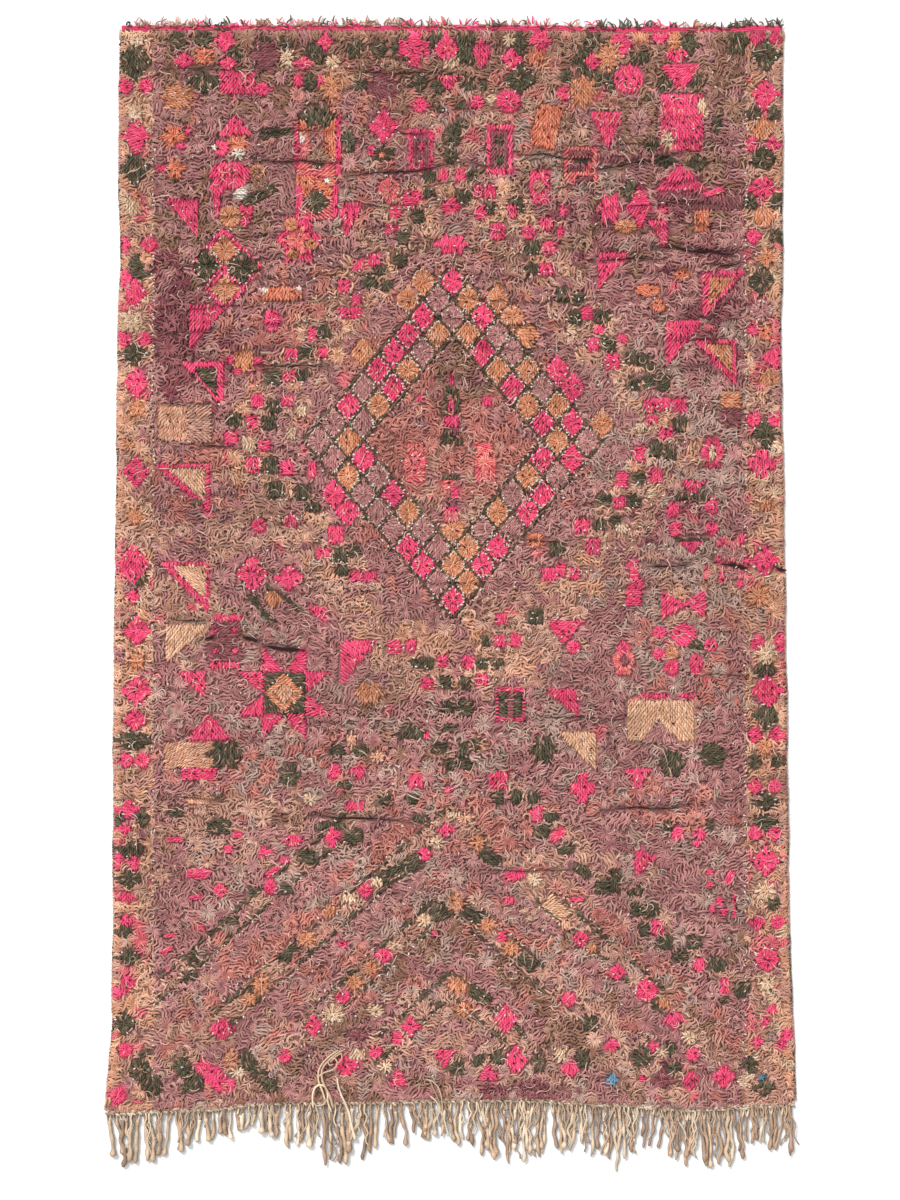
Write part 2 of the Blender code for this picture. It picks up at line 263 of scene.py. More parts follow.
class Chart:
    """The wool of every knot, and the motif that it belongs to."""

    def __init__(self, x, y):
        self.across = x / COUNT
        self.down = (HEAD_LINE - y) / COUNT
        self.tuft = nearest_tuft(x, y)
        self.wool = np.full(np.shape(x), CODE["mauve"])
        self.motif = np.zeros(np.shape(x), dtype=int)
        self.placed = []

    def paint(self, wool, shape, rows):
        """Work motifs of one wool and shape: across, down, wide, high and a turn in degrees."""
        for across, down, wide, high, *turned in rows:
            turn = math.radians(turned[0]) if turned else 0.0
            self.placed.append((across, down, wide, high, shape, turn))
            right, below = self.across - across, self.down - down
            u = (right * math.cos(turn) + below * math.sin(turn)) / (wide / 2 - SPIKE)
            v = (below * math.cos(turn) - right * math.sin(turn)) / (high / 2 - SPIKE)
            here = SHAPES[shape](u, v) & (np.abs(u) < 1) & (np.abs(v) < 1)
            self.wool[here] = CODE[wool]
            self.motif[here] = len(self.placed)

    def line(self, wool, start, end, wide):
        """Work a straight line of knots between two places."""
        along, below = end[0] - start[0], end[1] - start[1]
        turn = math.degrees(math.atan2(below, along))
        middle = (start[0] + along / 2, start[1] + below / 2)
        self.paint(wool, "line", [(*middle, math.hypot(along, below), wide, turn)])

    def sprinkle(self, wool, near, share, seed):
        """Give a share of the tufts in a soft zone another ground wool."""
        luck = np.random.default_rng(seed).random((TUFT_COLUMNS, TUFT_ROWS))[self.tuft]
        drift = soft_noise(self.across * COUNT, self.down * COUNT, DRIFT_SIZE, seed)
        chosen = luck * TUFT_WEIGHT + drift * DRIFT_WEIGHT < share * near
        self.wool[chosen & (self.motif == 0)] = CODE[wool]


def petals(number, depth):
    """A round shape with petals."""
    def inside(u, v):
        return np.hypot(u, v) < 1 - depth + depth * np.cos(number * np.arctan2(v, u))
    return inside


SHAPES = {
    "diamond": lambda u, v: np.abs(u) + np.abs(v) < 1.08,
    "square": lambda u, v: np.abs(u) < 1,
    "line": lambda u, v: np.abs(u) < 1,
    "up": lambda u, v: np.abs(u) < (v + 1) / 2 + 0.05,
    "down": lambda u, v: np.abs(u) < (1 - v) / 2 + 0.05,
    "left": lambda u, v: np.abs(v) < (u + 1) / 2 + 0.05,
    "right": lambda u, v: np.abs(v) < (1 - u) / 2 + 0.05,
    "nw": lambda u, v: u + v < 0.1,
    "ne": lambda u, v: v < u + 0.1,
    "se": lambda u, v: u + v > -0.1,
    "sw": lambda u, v: v > u - 0.1,
    "round": lambda u, v: np.hypot(u, v) < 1,
    "cross": lambda u, v: np.minimum(np.abs(u), np.abs(v)) < 0.40,
    "leaf": lambda u, v: np.abs(u + 0.25 * v) < 0.75 * (1 - v) / 2 + 0.15 * (v < -0.2),
    "star": petals(8, 0.22),
    "flower": petals(6, 0.16),
}

# %% [markdown]
# The fading is charted first, as soft zones: the wool, the middle of the zone,
# its half width and half height, and how much of the ground it takes. At the
# foot it runs in slanted bands beside the chevrons: the wool, the counts above
# and below it on the middle line, and its share.

# %% Faded zones of the ground
ZONES = (
    ("taupe", 0, 30, 360, 70, 0.85),
    ("peach", -30, 50, 300, 34, 0.22),
    ("beige", 112, 66, 130, 46, 0.22),
    ("taupe", -240, 190, 90, 60, 0.50),
    ("rose", -100, 160, 60, 60, 0.30),
    ("rose", -20, 140, 130, 80, 0.50),
    ("beige", 40, 120, 150, 80, 0.50),
    ("taupe", 60, 190, 160, 70, 0.50),
    ("aubergine", 210, 190, 110, 50, 0.45),
    ("aubergine", -275, 290, 26, 70, 0.95),
    ("aubergine", -230, 320, 60, 60, 0.45),
    ("rose", -150, 300, 90, 90, 0.50),
    ("taupe", 270, 120, 50, 90, 0.50),
    ("aubergine", 268, 292, 36, 40, 0.90),
    ("rose", 0, 400, 120, 160, 0.72),
    ("taupe", 30, 330, 70, 60, 0.50),
    ("beige", 0, 480, 90, 80, 0.45),
    ("rose", -240, 440, 60, 60, 0.70),
    ("beige", -230, 500, 80, 30, 0.60),
    ("mauve", 230, 400, 90, 120, 0.30),
    ("beige", 255, 560, 90, 50, 0.70),
    ("rose", 240, 620, 90, 60, 0.50),
    ("beige", 55, 600, 80, 60, 0.85),
    ("peach", -10, 620, 60, 60, 0.45),
    ("beige", -250, 590, 70, 50, 0.60),
    ("rose", -180, 740, 140, 60, 0.50),
    ("taupe", -60, 700, 60, 60, 0.55),
    ("rose", 0, 60, 340, 90, 0.30),
    ("aubergine", -40, 150, 300, 130, 0.08),
    ("dust", 0, 900, 330, 240, 0.60),
    ("dust", 230, 520, 110, 260, 0.55),
    ("aubergine", 208, 478, 46, 46, 0.35),
    ("dust", 40, 150, 160, 90, 0.40),
    ("dust", -200, 650, 120, 120, 0.30),
    ("rose", 180, 770, 120, 30, 0.60),
    ("taupe", -120, 790, 70, 40, 0.50),
    ("beige", -230, 800, 90, 60, 0.55),
    ("rose", 0, 790, 120, 60, 0.55),
    ("rose", -170, 930, 130, 60, 0.55),
    ("beige", 130, 850, 90, 60, 0.60),
    ("beige", 20, 1000, 130, 50, 0.80),
    ("rose", 30, 930, 120, 60, 0.40),
    ("taupe", 220, 950, 120, 90, 0.35),
    ("beige", -230, 990, 110, 60, 0.65),
    ("beige", 210, 1010, 110, 50, 0.50),
    ("taupe", 20, 1058, 330, 16, 0.45),
    ("beige", 60, 1050, 300, 14, 0.30),
    ("aubergine", 60, 1055, 60, 12, 0.55),
    ("taupe", -160, 1055, 120, 16, 0.60),
    ("aubergine", 235, 1035, 26, 20, 0.40),
    ("taupe", 150, 960, 170, 110, 0.36),
    ("beige", 170, 920, 150, 150, 0.24),
    ("beige", 245, 570, 60, 46, 0.40),
    ("peach", 235, 560, 50, 30, 0.20),
    ("blush", 140, 1058, 26, 7, 0.50),
    ("blush", 231, 1061, 28, 8, 0.55),
    ("blush", -262, 1063, 18, 7, 0.45),
)
SLANTED_BANDS = (
    ("mauve", 620, 687, 0.45), ("beige", 687, 709, 0.55), ("mauve", 712, 742, 0.60),
    ("rose", 738, 770, 0.40), ("beige", 770, 795, 0.65), ("mauve", 797, 828, 0.65),
    ("rose", 824, 851, 0.28), ("beige", 851, 877, 0.65), ("taupe", 880, 908, 0.45),
    ("mauve", 905, 935, 0.45), ("beige", 937, 962, 0.55), ("mauve", 985, 1010, 0.40),
)
CHEVRON_SLOPE = 0.885
BANDS_START, BANDS_REACH = 745, 290
BORDER_LEFT, BORDER_RIGHT = -298, 294


def fade_ground(chart):
    """Chart the faded zones and the lighter ground of the borders."""
    for seed, (wool, across, down, wide, high, share) in enumerate(ZONES):
        reach = np.hypot((chart.across - across) / wide, (chart.down - down) / high)
        chart.sprinkle(wool, np.clip(1.35 - reach, 0, 1), share, 40 + seed)
    slanted = chart.down - CHEVRON_SLOPE * np.abs(chart.across)
    in_reach = (chart.down > BANDS_START) & (np.abs(chart.across) < BANDS_REACH)
    for seed, (wool, above, below, share) in enumerate(SLANTED_BANDS):
        chart.sprinkle(wool, (slanted > above) & (slanted < below) & in_reach, share, 140 + seed)
    border = (chart.across < BORDER_LEFT) | (chart.across > BORDER_RIGHT)
    chart.sprinkle("blush", chart.down < 760, 0.10, 90)
    chart.sprinkle("beige", border, 0.75, 91)
    chart.sprinkle("peach", border, 0.50, 92)
    chart.sprinkle("blush", border, 0.20, 94)
    chart.sprinkle("cream", border, 0.16, 93)


# %% [markdown]
# The lozenge, the band round it and the chevrons at the foot follow rules, so
# loops chart them. The lozenge has ten cells a side, and two rings of them in
# alternating wools go round a plain middle. The band steps down at each side
# on a pale ground, and its little squares are placed one by one. A chevron is
# two thin broken lines: its side, how far down it starts, how wide it is, and
# where it starts and ends across.

# %% The lozenge, its band and the chevrons
CELL = (14.9, 17.7)
CELL_FILL = 1.70
LOZENGE_PLACE = (1.5, 231.3)
LOZENGE_CELLS = 10
LOZENGE_RINGS = 2
LOZENGE_LINE = 2.7
PINK_CELLS = (
    (0, 0), (0, 2), (0, 3), (0, 4), (0, 5), (1, 5), (0, 7), (2, 8), (4, 8), (6, 9), (7, 9), (9, 9),
    (2, 0), (3, 1), (5, 1), (7, 1), (8, 0), (8, 2), (9, 1), (9, 3), (9, 4), (9, 6), (9, 7), (2, 10),
    (3, 10), (6, -1), (7, -1),
)
OCHRE_CELLS = (
    (1, 0), (5, 0), (7, 0), (2, 1), (4, 1), (6, 1), (8, 1), (1, 2), (8, 3), (8, 5), (8, 7), (8, 8),
    (7, 7), (5, 8), (1, 8), (2, 9), (1, 4), (1, 6), (9, 8), (2, -1), (3, -1), (4, -1), (9, -1), (-1, 1),
    (-1, 2), (-1, 5),
)
BAND_STEPS = (
    (-28, 164, -16.0, 22.0, 11),
    (34, 162, 17.2, 22.5, 11),
    (-206, 432, 17.6, 21.4, 11),
    (226, 418, -17.4, 22.0, 11),
)
BAND_SQUARES = (
    ("pink", (
        (-138, 302, 10, 14), (-128, 320, 10, 12), (-160, 322, 13, 14), (-162, 343, 12, 12),
        (-194, 368, 14, 14), (-164, 368, 13, 13), (-199, 389, 12, 14), (-220, 405, 15, 13),
        (-187, 413, 14, 12), (-199, 432, 14, 16), (-165, 435, 14, 16), (-139, 437, 9, 16),
        (-161, 488, 13, 14), (-116, 502, 16, 18), (-128, 520, 14, 11), (-96, 543, 14, 12),
        (-81, 543, 12, 12), (-107, 253, 12, 14), (-95, 267, 11, 12), (-77, 228, 13, 16),
        (-93, 233, 12, 12), (-56, 180, 12, 12), (-61, 196, 14, 10), (-36, 164, 12, 12),
        (-102, 280, 24, 12), (136, 281, 13, 14), (148, 297, 13, 10), (141, 311, 13, 14),
        (171, 307, 10, 9), (161, 329, 15, 16), (199, 373, 13, 14), (213, 371, 12, 14), (229, 373, 14, 14),
        (201, 386, 12, 9), (214, 401, 14, 12), (188, 422, 12, 16), (171, 447, 14, 18), (204, 443, 14, 14),
        (168, 470, 14, 13), (130, 493, 16, 14), (141, 514, 15, 16), (97, 541, 13, 14), (123, 541, 12, 13),
        (109, 537, 12, 16), (97, 217, 14, 14), (95, 237, 16, 14), (95, 192, 14, 14),
    )),
    ("olive", (
        (-127, 299, 14, 12), (-145, 320, 15, 14), (-178, 345, 18, 16), (-148, 343, 14, 13),
        (-178, 374, 16, 14), (-216, 388, 15, 14), (-182, 391, 15, 15), (-181, 433, 17, 15),
        (-176, 457, 18, 16), (-148, 459, 16, 15), (-139, 474, 16, 10), (-111, 523, 14, 14),
        (-97, 518, 14, 13), (-109, 537, 16, 11), (-82, 249, 15, 15), (-65, 253, 13, 12),
        (-70, 238, 12, 10), (-52, 228, 14, 14), (-22, 161, 13, 12), (-33, 184, 14, 13),
        (-49, 205, 14, 14), (150, 284, 15, 14), (157, 311, 15, 15), (180, 325, 13, 14),
        (195, 330, 13, 15), (182, 350, 13, 16), (197, 348, 12, 15), (212, 350, 13, 16),
        (228, 392, 16, 14), (204, 417, 13, 16), (218, 419, 12, 15), (187, 445, 15, 13),
        (152, 468, 16, 12), (182, 468, 15, 13), (148, 492, 14, 13), (163, 488, 12, 14),
        (106, 516, 16, 16), (81, 215, 14, 14), (81, 236, 14, 12), (65, 173, 14, 14), (37, 176, 13, 12),
        (111, 262, 14, 14), (127, 266, 13, 14),
    )),
    ("cream", (
        (-202, 412, 14, 16), (-150, 378, 11, 12), (-160, 402, 10, 12), (190, 395, 12, 10),
        (120, 296, 11, 12), (200, 460, 11, 10), (170, 496, 12, 10),
    )),
)
CHEVRONS = (
    (-1, 687, 22, 105, 285),
    (-1, 770, 25, 0, 232),
    (1, 768, 24, 84, 200),
    (-1, 851, 26, 20, 150),
    (1, 853, 24, 20, 96),
    (-1, 937, 25, 0, 66),
    (1, 937, 25, 0, 58),
)
BAND_REACH = (32, 14)
DASH_PITCH = 19.0
DASH_LENGTHS, DASH_WIDTHS = (14, 20), (2.7, 3.8)
OLIVE_SHARE = 0.86


def crossing(i, j):
    """The place in counts where two lines of the lozenge cross."""
    return LOZENGE_PLACE[0] + (i - j) * CELL[0], LOZENGE_PLACE[1] + (i + j) * CELL[1]


def lozenge_lines():
    """Where the dark lines of the lozenge start and end: whole near its sides, short inside."""
    inside = ((0, LOZENGE_RINGS), (LOZENGE_CELLS - LOZENGE_RINGS, LOZENGE_CELLS))
    for k in range(LOZENGE_CELLS + 1):
        whole = min(k, LOZENGE_CELLS - k) <= LOZENGE_RINGS
        for start, end in ((0, LOZENGE_CELLS),) if whole else inside:
            yield crossing(k, start), crossing(k, end)
            yield crossing(start, k), crossing(end, k)


def chart_lozenge(chart):
    """The checked lozenge: two rings of cells with dark lines between, round a plain middle."""
    cells = range(LOZENGE_CELLS)
    rings = [(i, j) for i in cells for j in cells if min(i, j, cells[-1] - i, cells[-1] - j) < LOZENGE_RINGS]
    size = (CELL[0] * CELL_FILL, CELL[1] * CELL_FILL)
    for wool, places in (("mauve", rings), ("ochre", OCHRE_CELLS), ("pink", PINK_CELLS)):
        chart.paint(wool, "diamond", [(*crossing(i + 0.5, j + 0.5), *size) for i, j in places])
    for start, end in lozenge_lines():
        chart.line("olive", start, end, LOZENGE_LINE)


def chart_band(chart):
    """The band of little squares on its pale ground."""
    for across, down, step_across, step_down, steps in BAND_STEPS:
        for step in range(steps):
            middle = across + step * step_across
            level = down + step * step_down
            near = np.abs(chart.across - middle) < BAND_REACH[0]
            near &= np.abs(chart.down - level) < BAND_REACH[1]
            chart.sprinkle("beige", near, 0.62, step)
            chart.sprinkle("peach", near, 0.30, step + 50)
    for wool, rows in BAND_SQUARES:
        chart.paint(wool, "square", rows)


def chart_chevrons(chart):
    """The nested chevrons at the foot: two thin broken dark lines down each side."""
    luck = np.random.default_rng(62)
    for side, down, wide, first, last in CHEVRONS:
        for level in (down, down + wide):
            for start in np.arange(first, last, DASH_PITCH):
                end = start + luck.uniform(*DASH_LENGTHS)
                wool = "olive" if luck.random() < OLIVE_SHARE else "taupe"
                begin = (side * start, level + CHEVRON_SLOPE * start)
                chart.line(wool, begin, (side * end, level + CHEVRON_SLOPE * end), luck.uniform(*DASH_WIDTHS))


# %% [markdown]
# The borders are columns of diamonds, bars and pairs of small tufts, placed one
# by one. A motif is across, down, wide and high in counts, and in some tables
# a turn in degrees. It stands under its wool and its shape.

# %% The side borders
LEFT_BORDER = (
    ("olive", "diamond", (
        (-316, 29, 34, 42), (-316, 136, 28, 38), (-317, 321, 30, 22), (-317, 707, 38, 22),
        (-320, 817, 34, 18), (-322, 846, 28, 20), (-327, 897, 20, 18), (-322, 924, 26, 18),
        (-327, 990, 24, 24), (-311, 1039, 24, 20), (-300, 1053, 22, 20),
    )),
    ("olive", "up", ((-315, 234, 32, 26), (-309, 544, 16, 16))),
    ("olive", "diamond", ((-332, 785, 14, 20), (-309, 785, 18, 20))),
    ("pink", "diamond", (
        (-326, 54, 18, 20), (-305, 54, 18, 20), (-328, 212, 18, 20), (-302, 212, 18, 20),
        (-326, 245, 16, 16), (-326, 307, 17, 17), (-307, 307, 17, 17), (-318, 564, 15, 15),
        (-325, 727, 18, 19), (-308, 727, 17, 19), (-326, 796, 18, 13), (-332, 959, 13, 13),
        (-315, 104, 28, 36), (-316, 261, 24, 32), (-315, 350, 28, 32), (-315, 439, 28, 32),
        (-318, 531, 34, 40), (-314, 598, 30, 32), (-315, 658, 32, 30), (-316, 687, 28, 22),
        (-323, 776, 24, 20), (-333, 828, 12, 20), (-317, 830, 13, 18), (-324, 864, 20, 14),
        (-324, 887, 20, 14), (-324, 950, 20, 17), (-326, 1017, 17, 17), (-334, 1063, 19, 24),
    )),
    ("cream", "star", ((-320, 289, 28, 28), (-316, 80, 22, 22), (-318, 175, 24, 24))),
    ("ochre", "star", (
        (-313, 376, 24, 24), (-323, 411, 18, 18), (-316, 484, 22, 22), (-314, 628, 20, 22),
    )),
    ("orange", "round", ((-316, 163, 10, 12),)),
)
RIGHT_BORDER = (
    ("olive", "diamond", (
        (314, 23, 30, 32), (311, 126, 30, 26), (310, 248, 28, 32), (314, 401, 28, 32), (314, 638, 26, 20),
        (314, 683, 28, 28), (314, 768, 26, 20), (314, 789, 28, 18), (298, 1031, 18, 18),
        (312, 1054, 22, 18), (322, 870, 18, 18), (302, 81, 17, 19), (322, 81, 17, 19), (299, 170, 17, 19),
        (324, 170, 17, 19), (324, 204, 17, 19), (303, 728, 17, 19), (326, 728, 17, 19),
    )),
    ("pink", "diamond", (
        (305, 5, 18, 18), (324, 5, 17, 17), (300, 112, 17, 19), (321, 112, 17, 19), (302, 204, 19, 18),
        (302, 296, 16, 16), (302, 387, 17, 17), (323, 387, 17, 17), (306, 610, 16, 20),
        (328, 610, 16, 20), (303, 702, 17, 19), (325, 702, 17, 19), (303, 753, 17, 19),
        (323, 753, 17, 19), (303, 800, 17, 17), (323, 800, 17, 17), (306, 889, 18, 16),
        (326, 889, 16, 16), (314, 988, 13, 13), (320, 976, 13, 13), (334, 1001, 13, 15),
        (305, 1009, 13, 15), (329, 1011, 13, 15), (313, 62, 28, 34), (311, 156, 32, 28),
        (313, 528, 30, 34), (316, 658, 32, 34), (314, 828, 30, 30), (316, 926, 28, 28),
    )),
    ("pink", "cross", ((310, 431, 28, 30),)),
    ("pink", "left", ((320, 325, 22, 34),)),
    ("mauve", "diamond", ((310, 278, 26, 26),)),
    ("ochre", "star", ((307, 563, 30, 28), (313, 714, 22, 22), (314, 472, 20, 18), (316, 345, 24, 24))),
    ("orange", "round", ((314, 301, 14, 14),)),
    ("ochre", "diamond", ((310, 96, 28, 26), (312, 184, 28, 26), (314, 225, 26, 22))),
    ("cream", "star", ((315, 620, 28, 26), (314, 858, 26, 24), (316, 950, 24, 22))),
    ("blue", "round", ((310, 1044, 9, 9),)),
)

# %% [markdown]
# The motifs of the field are placed one by one too. First come the crowded rows
# at the head.

# %% The rows at the head
HEAD_ROWS = (
    ("aubergine", "flower", ((-186, 24, 34, 40), (-67, 55, 36, 34))),
    ("olive", "flower", (
        (-273, 9, 25, 21), (-249, 7, 23, 19), (-216, 23, 18, 18), (-136, 22, 23, 26), (-96, 17, 19, 23),
        (-73, 17, 20, 23), (-51, 17, 21, 25), (-16, 9, 23, 19), (14, 17, 30, 35), (67, 12, 19, 30),
        (134, 28, 25, 40), (142, 8, 25, 19), (188, 26, 28, 16), (236, 12, 22, 30), (285, 9, 28, 32),
        (-186, 6, 18, 11),
    )),
    ("olive", "diamond", (
        (-247, 50, 39, 23), (-141, 50, 19, 21), (-91, 52, 14, 21), (-32, 50, 18, 21), (-12, 53, 16, 21),
        (17, 52, 18, 14), (31, 54, 11, 16), (68, 47, 32, 30), (145, 47, 12, 23), (159, 49, 19, 25),
        (213, 52, 16, 19), (246, 50, 16, 19), (116, 45, 16, 18), (-11, 77, 11, 11), (9, 74, 13, 11),
        (198, 72, 16, 18), (9, 92, 18, 14), (-166, 12, 18, 16),
    )),
    ("pink", "diamond", (
        (-226, 9, 22, 24), (-267, 29, 24, 20), (-224, 31, 22, 16), (-126, 10, 18, 20), (-147, 31, 22, 16),
        (-5, 17, 26, 32), (30, 20, 19, 32), (60, 27, 24, 22), (89, 9, 22, 28), (141, 29, 18, 18),
        (168, 12, 28, 32), (208, 5, 20, 14), (225, 22, 24, 22), (-189, 57, 22, 14), (-257, 65, 11, 9),
        (-218, 67, 9, 9), (26, 70, 13, 20), (112, 62, 14, 18),
    )),
    ("pink", "cross", ((-37, 16, 32, 38),)),
    ("pink", "square", ((-214, 51, 36, 24),)),
    ("pink", "down", ((-3, 51, 26, 17), (229, 45, 42, 29))),
    ("pink", "round", ((177, 47, 30, 30), (57, 69, 28, 24), (-153, 48, 9, 14), (-131, 48, 9, 14))),
    ("orange", "star", ((-247, 24, 26, 20), (84, 25, 22, 22))),
    ("ochre", "star", (
        (158, 24, 30, 40), (190, 5, 20, 16), (223, 10, 16, 24), (-273, 65, 38, 34), (-120, 55, 26, 36),
        (132, 60, 34, 38),
    )),
    ("cream", "star", (
        (-164, 26, 18, 24), (-118, 30, 20, 20), (0, 32, 22, 16), (57, 8, 16, 16), (40, 66, 14, 18),
        (-314, 8, 22, 16), (250, 80, 18, 18),
    )),
)

# %% [markdown]
# Below them single motifs stand between the head and the lozenge: framed
# squares, triangles, leaves and rounds, some of them one inside the other.

# %% The upper field
UPPER_FIELD = (
    ("salmon", "square", ((-135, 154, 40, 66),)),
    ("orange", "square", (
        (-121, 100, 12, 52), (-147, 100, 11, 28), (-146, 153, 18, 22), (-126, 154, 18, 20),
    )),
    ("blush", "flower", ((-147, 117, 20, 30),)),
    ("ivory", "star", ((-148, 106, 9, 15), (-124, 148, 10, 10))),
    ("pink", "square", ((-154, 112, 5, 44), (-113, 112, 5, 62), (-152, 176, 7, 46), (-116, 168, 6, 32))),
    ("taupe", "flower", ((-133, 125, 26, 26),)),
    ("olive", "flower", ((-133, 84, 40, 26),)),
    ("olive", "diamond", ((-135, 170, 28, 28), (-132, 132, 12, 10))),
    ("pink", "flower", ((-152, 207, 46, 56),)),
    ("salmon", "flower", ((-154, 208, 30, 34),)),
    ("ochre", "round", ((-160, 192, 12, 14), (-140, 212, 14, 12), (-158, 222, 14, 12))),
    ("pink", "diamond", ((-68, 94, 31, 36), (-31, 73, 22, 17))),
    ("pink", "up", ((-216, 93, 36, 23),)),
    ("orange", "flower", ((-213, 111, 26, 20), (-277, 104, 30, 28), (-276, 136, 22, 24))),
    ("pink", "round", ((-230, 116, 18, 18), (-263, 99, 9, 12), (-270, 114, 12, 8), (-290, 136, 10, 9))),
    ("ivory", "flower", ((-213, 122, 15, 14), (-211, 161, 17, 17), (-237, 115, 9, 12))),
    ("pink", "round", ((-221, 143, 42, 30), (-205, 178, 16, 15))),
    ("pink", "down", ((-234, 170, 14, 36), (-206, 190, 16, 12))),
    ("ochre", "round", ((-194, 139, 15, 13), (-221, 184, 24, 24), (-245, 166, 9, 8))),
    ("taupe", "round", ((-194, 139, 7, 6),)),
    ("olive", "line", ((-192, 163, 38, 9, -28), (-176, 101, 30, 9, -8))),
    ("pink", "ne", ((-269, 185, 32, 38),)),
    ("pink", "square", ((-30, 118, 25, 42), (48, 117, 27, 51), (230, 90, 42, 58), (88, 155, 20, 36))),
    ("aubergine", "square", ((-30, 118, 16, 30), (48, 117, 18, 38))),
    ("pink", "round", ((-30, 115, 9, 12), (-30, 130, 7, 6))),
    ("olive", "round", ((48, 108, 11, 12), (48, 128, 10, 10))),
    ("rose", "round", ((88, 154, 12, 15),)),
    ("cream", "flower", ((216, 108, 14, 22), (250, 74, 12, 20))),
    ("orange", "square", ((95, 94, 26, 44, 12), (250, 182, 15, 36))),
    ("pink", "down", ((156, 97, 36, 36),)),
    ("taupe", "square", ((187, 90, 36, 42),)),
    ("mauve", "flower", ((187, 90, 28, 34),)),
    ("salmon", "square", ((129, 132, 34, 38),)),
    ("aubergine", "square", ((129, 121, 26, 6), (125, 135, 18, 9), (133, 147, 18, 6))),
    ("olive", "square", ((131, 128, 18, 6),)),
    ("pink", "up", ((229, 145, 50, 27),)),
    ("olive", "diamond", (
        (213, 128, 22, 20), (246, 131, 22, 20), (200, 112, 18, 20), (180, 159, 24, 26), (264, 92, 12, 22),
    )),
    ("pink", "flower", ((158, 176, 28, 34),)),
    ("pink", "up", ((188, 164, 26, 26),)),
    ("pink", "down", ((188, 185, 26, 24),)),
    ("ochre", "round", ((174, 194, 22, 16),)),
    ("pink", "ne", ((206, 203, 22, 30),)),
    ("aubergine", "square", ((246, 163, 84, 7, -4), (180, 125, 70, 5, -10), (262, 170, 60, 16))),
    ("pink", "line", ((262, 160, 22, 6, -20), (212, 176, 10, 7, 30))),
    ("pink", "leaf", ((-103, 189, 28, 40),)),
    ("salmon", "diamond", ((-62, 157, 24, 30), (-60, 130, 12, 10), (-40, 168, 26, 20))),
    ("olive", "round", (
        (-103, 108, 16, 24), (-69, 122, 26, 14), (0, 103, 20, 22), (-1, 124, 13, 22), (-22, 144, 15, 14),
        (22, 142, 12, 12), (12, 165, 18, 14),
    )),
    ("orange", "round", ((-70, 123, 9, 9),)),
    ("pink", "square", ((-8, 142, 10, 14), (9, 142, 10, 14), (26, 160, 9, 14), (38, 160, 11, 14))),
    ("pink", "flower", ((-1, 174, 22, 22), (0, 212, 38, 24), (29, 180, 15, 20), (-41, 166, 24, 22))),
    ("pink", "round", (
        (60, 179, 12, 15), (111, 178, 11, 12), (46, 199, 18, 20), (77, 200, 15, 16), (109, 199, 8, 13),
        (97, 216, 13, 15), (-80, 118, 8, 14),
    )),
)

# %% [markdown]
# On both sides of the lozenge and of its band the motifs are larger and stand
# further apart.

# %% The sides of the field
LEFT_FIELD = (
    ("pink", "diamond", (
        (-227, 217, 42, 42), (-226, 257, 40, 40), (-244, 234, 34, 36), (-208, 235, 36, 40),
    )),
    ("ochre", "diamond", ((-227, 218, 30, 32), (-226, 257, 30, 30))),
    ("olive", "diamond", ((-245, 234, 30, 33), (-209, 235, 32, 36))),
    ("ochre", "star", ((-207, 327, 32, 30),)),
    ("pink", "line", ((-221, 327, 9, 9), (-194, 328, 10, 8), (-213, 339, 9, 6))),
    ("orange", "square", ((-169, 261, 40, 14),)),
    ("ivory", "round", ((-187, 258, 9, 8), (-152, 256, 8, 7))),
    ("pink", "nw", ((-244, 295, 36, 44), (-93, 629, 36, 44))),
    ("pink", "round", ((-179, 288, 18, 22), (-192, 492, 17, 16))),
    ("pink", "ne", ((-134, 583, 18, 18),)),
    ("olive", "line", ((-190, 576, 40, 5, 51), (-167, 565, 48, 4, 35))),
    ("ochre", "diamond", ((-178, 566, 20, 20),)),
    ("pink", "ne", ((-248, 351, 40, 44), (-268, 456, 54, 50), (-266, 554, 48, 50), (-261, 651, 30, 28))),
    ("olive", "ne", ((-246, 349, 24, 28),)),
    ("peach", "square", ((-278, 391, 30, 36),)),
    ("beige", "square", ((-252, 391, 24, 38),)),
    ("light", "ne", ((-264, 452, 38, 34),)),
    ("olive", "round", ((-254, 470, 11, 9),)),
    ("light", "ne", ((-262, 549, 34, 34),)),
    ("light", "nw", ((-264, 610, 42, 38),)),
    ("pink", "diamond", ((-199, 541, 32, 38), (-162, 545, 32, 28))),
    ("aubergine", "square", ((-226, 609, 32, 50),)),
    ("pink", "square", ((-224, 585, 30, 8), (-226, 632, 30, 8))),
    ("pink", "round", ((-236, 597, 9, 9), (-217, 597, 9, 9), (-235, 618, 9, 9), (-216, 618, 9, 9))),
    ("ochre", "flower", ((-82, 661, 34, 26),)),
    ("pink", "up", ((-242, 695, 48, 26),)),
    ("peach", "square", ((-261, 722, 52, 26),)),
    ("olive", "flower", ((-226, 721, 40, 32), (-162, 741, 24, 26))),
    ("pink", "square", ((-252, 741, 36, 12),)),
    ("pink", "round", (
        (-117, 738, 15, 17), (-93, 738, 15, 17), (-253, 840, 30, 11), (-231, 857, 13, 12),
    )),
    ("olive", "round", ((-114, 718, 16, 15), (-92, 717, 16, 15), (-107, 752, 16, 11))),
)
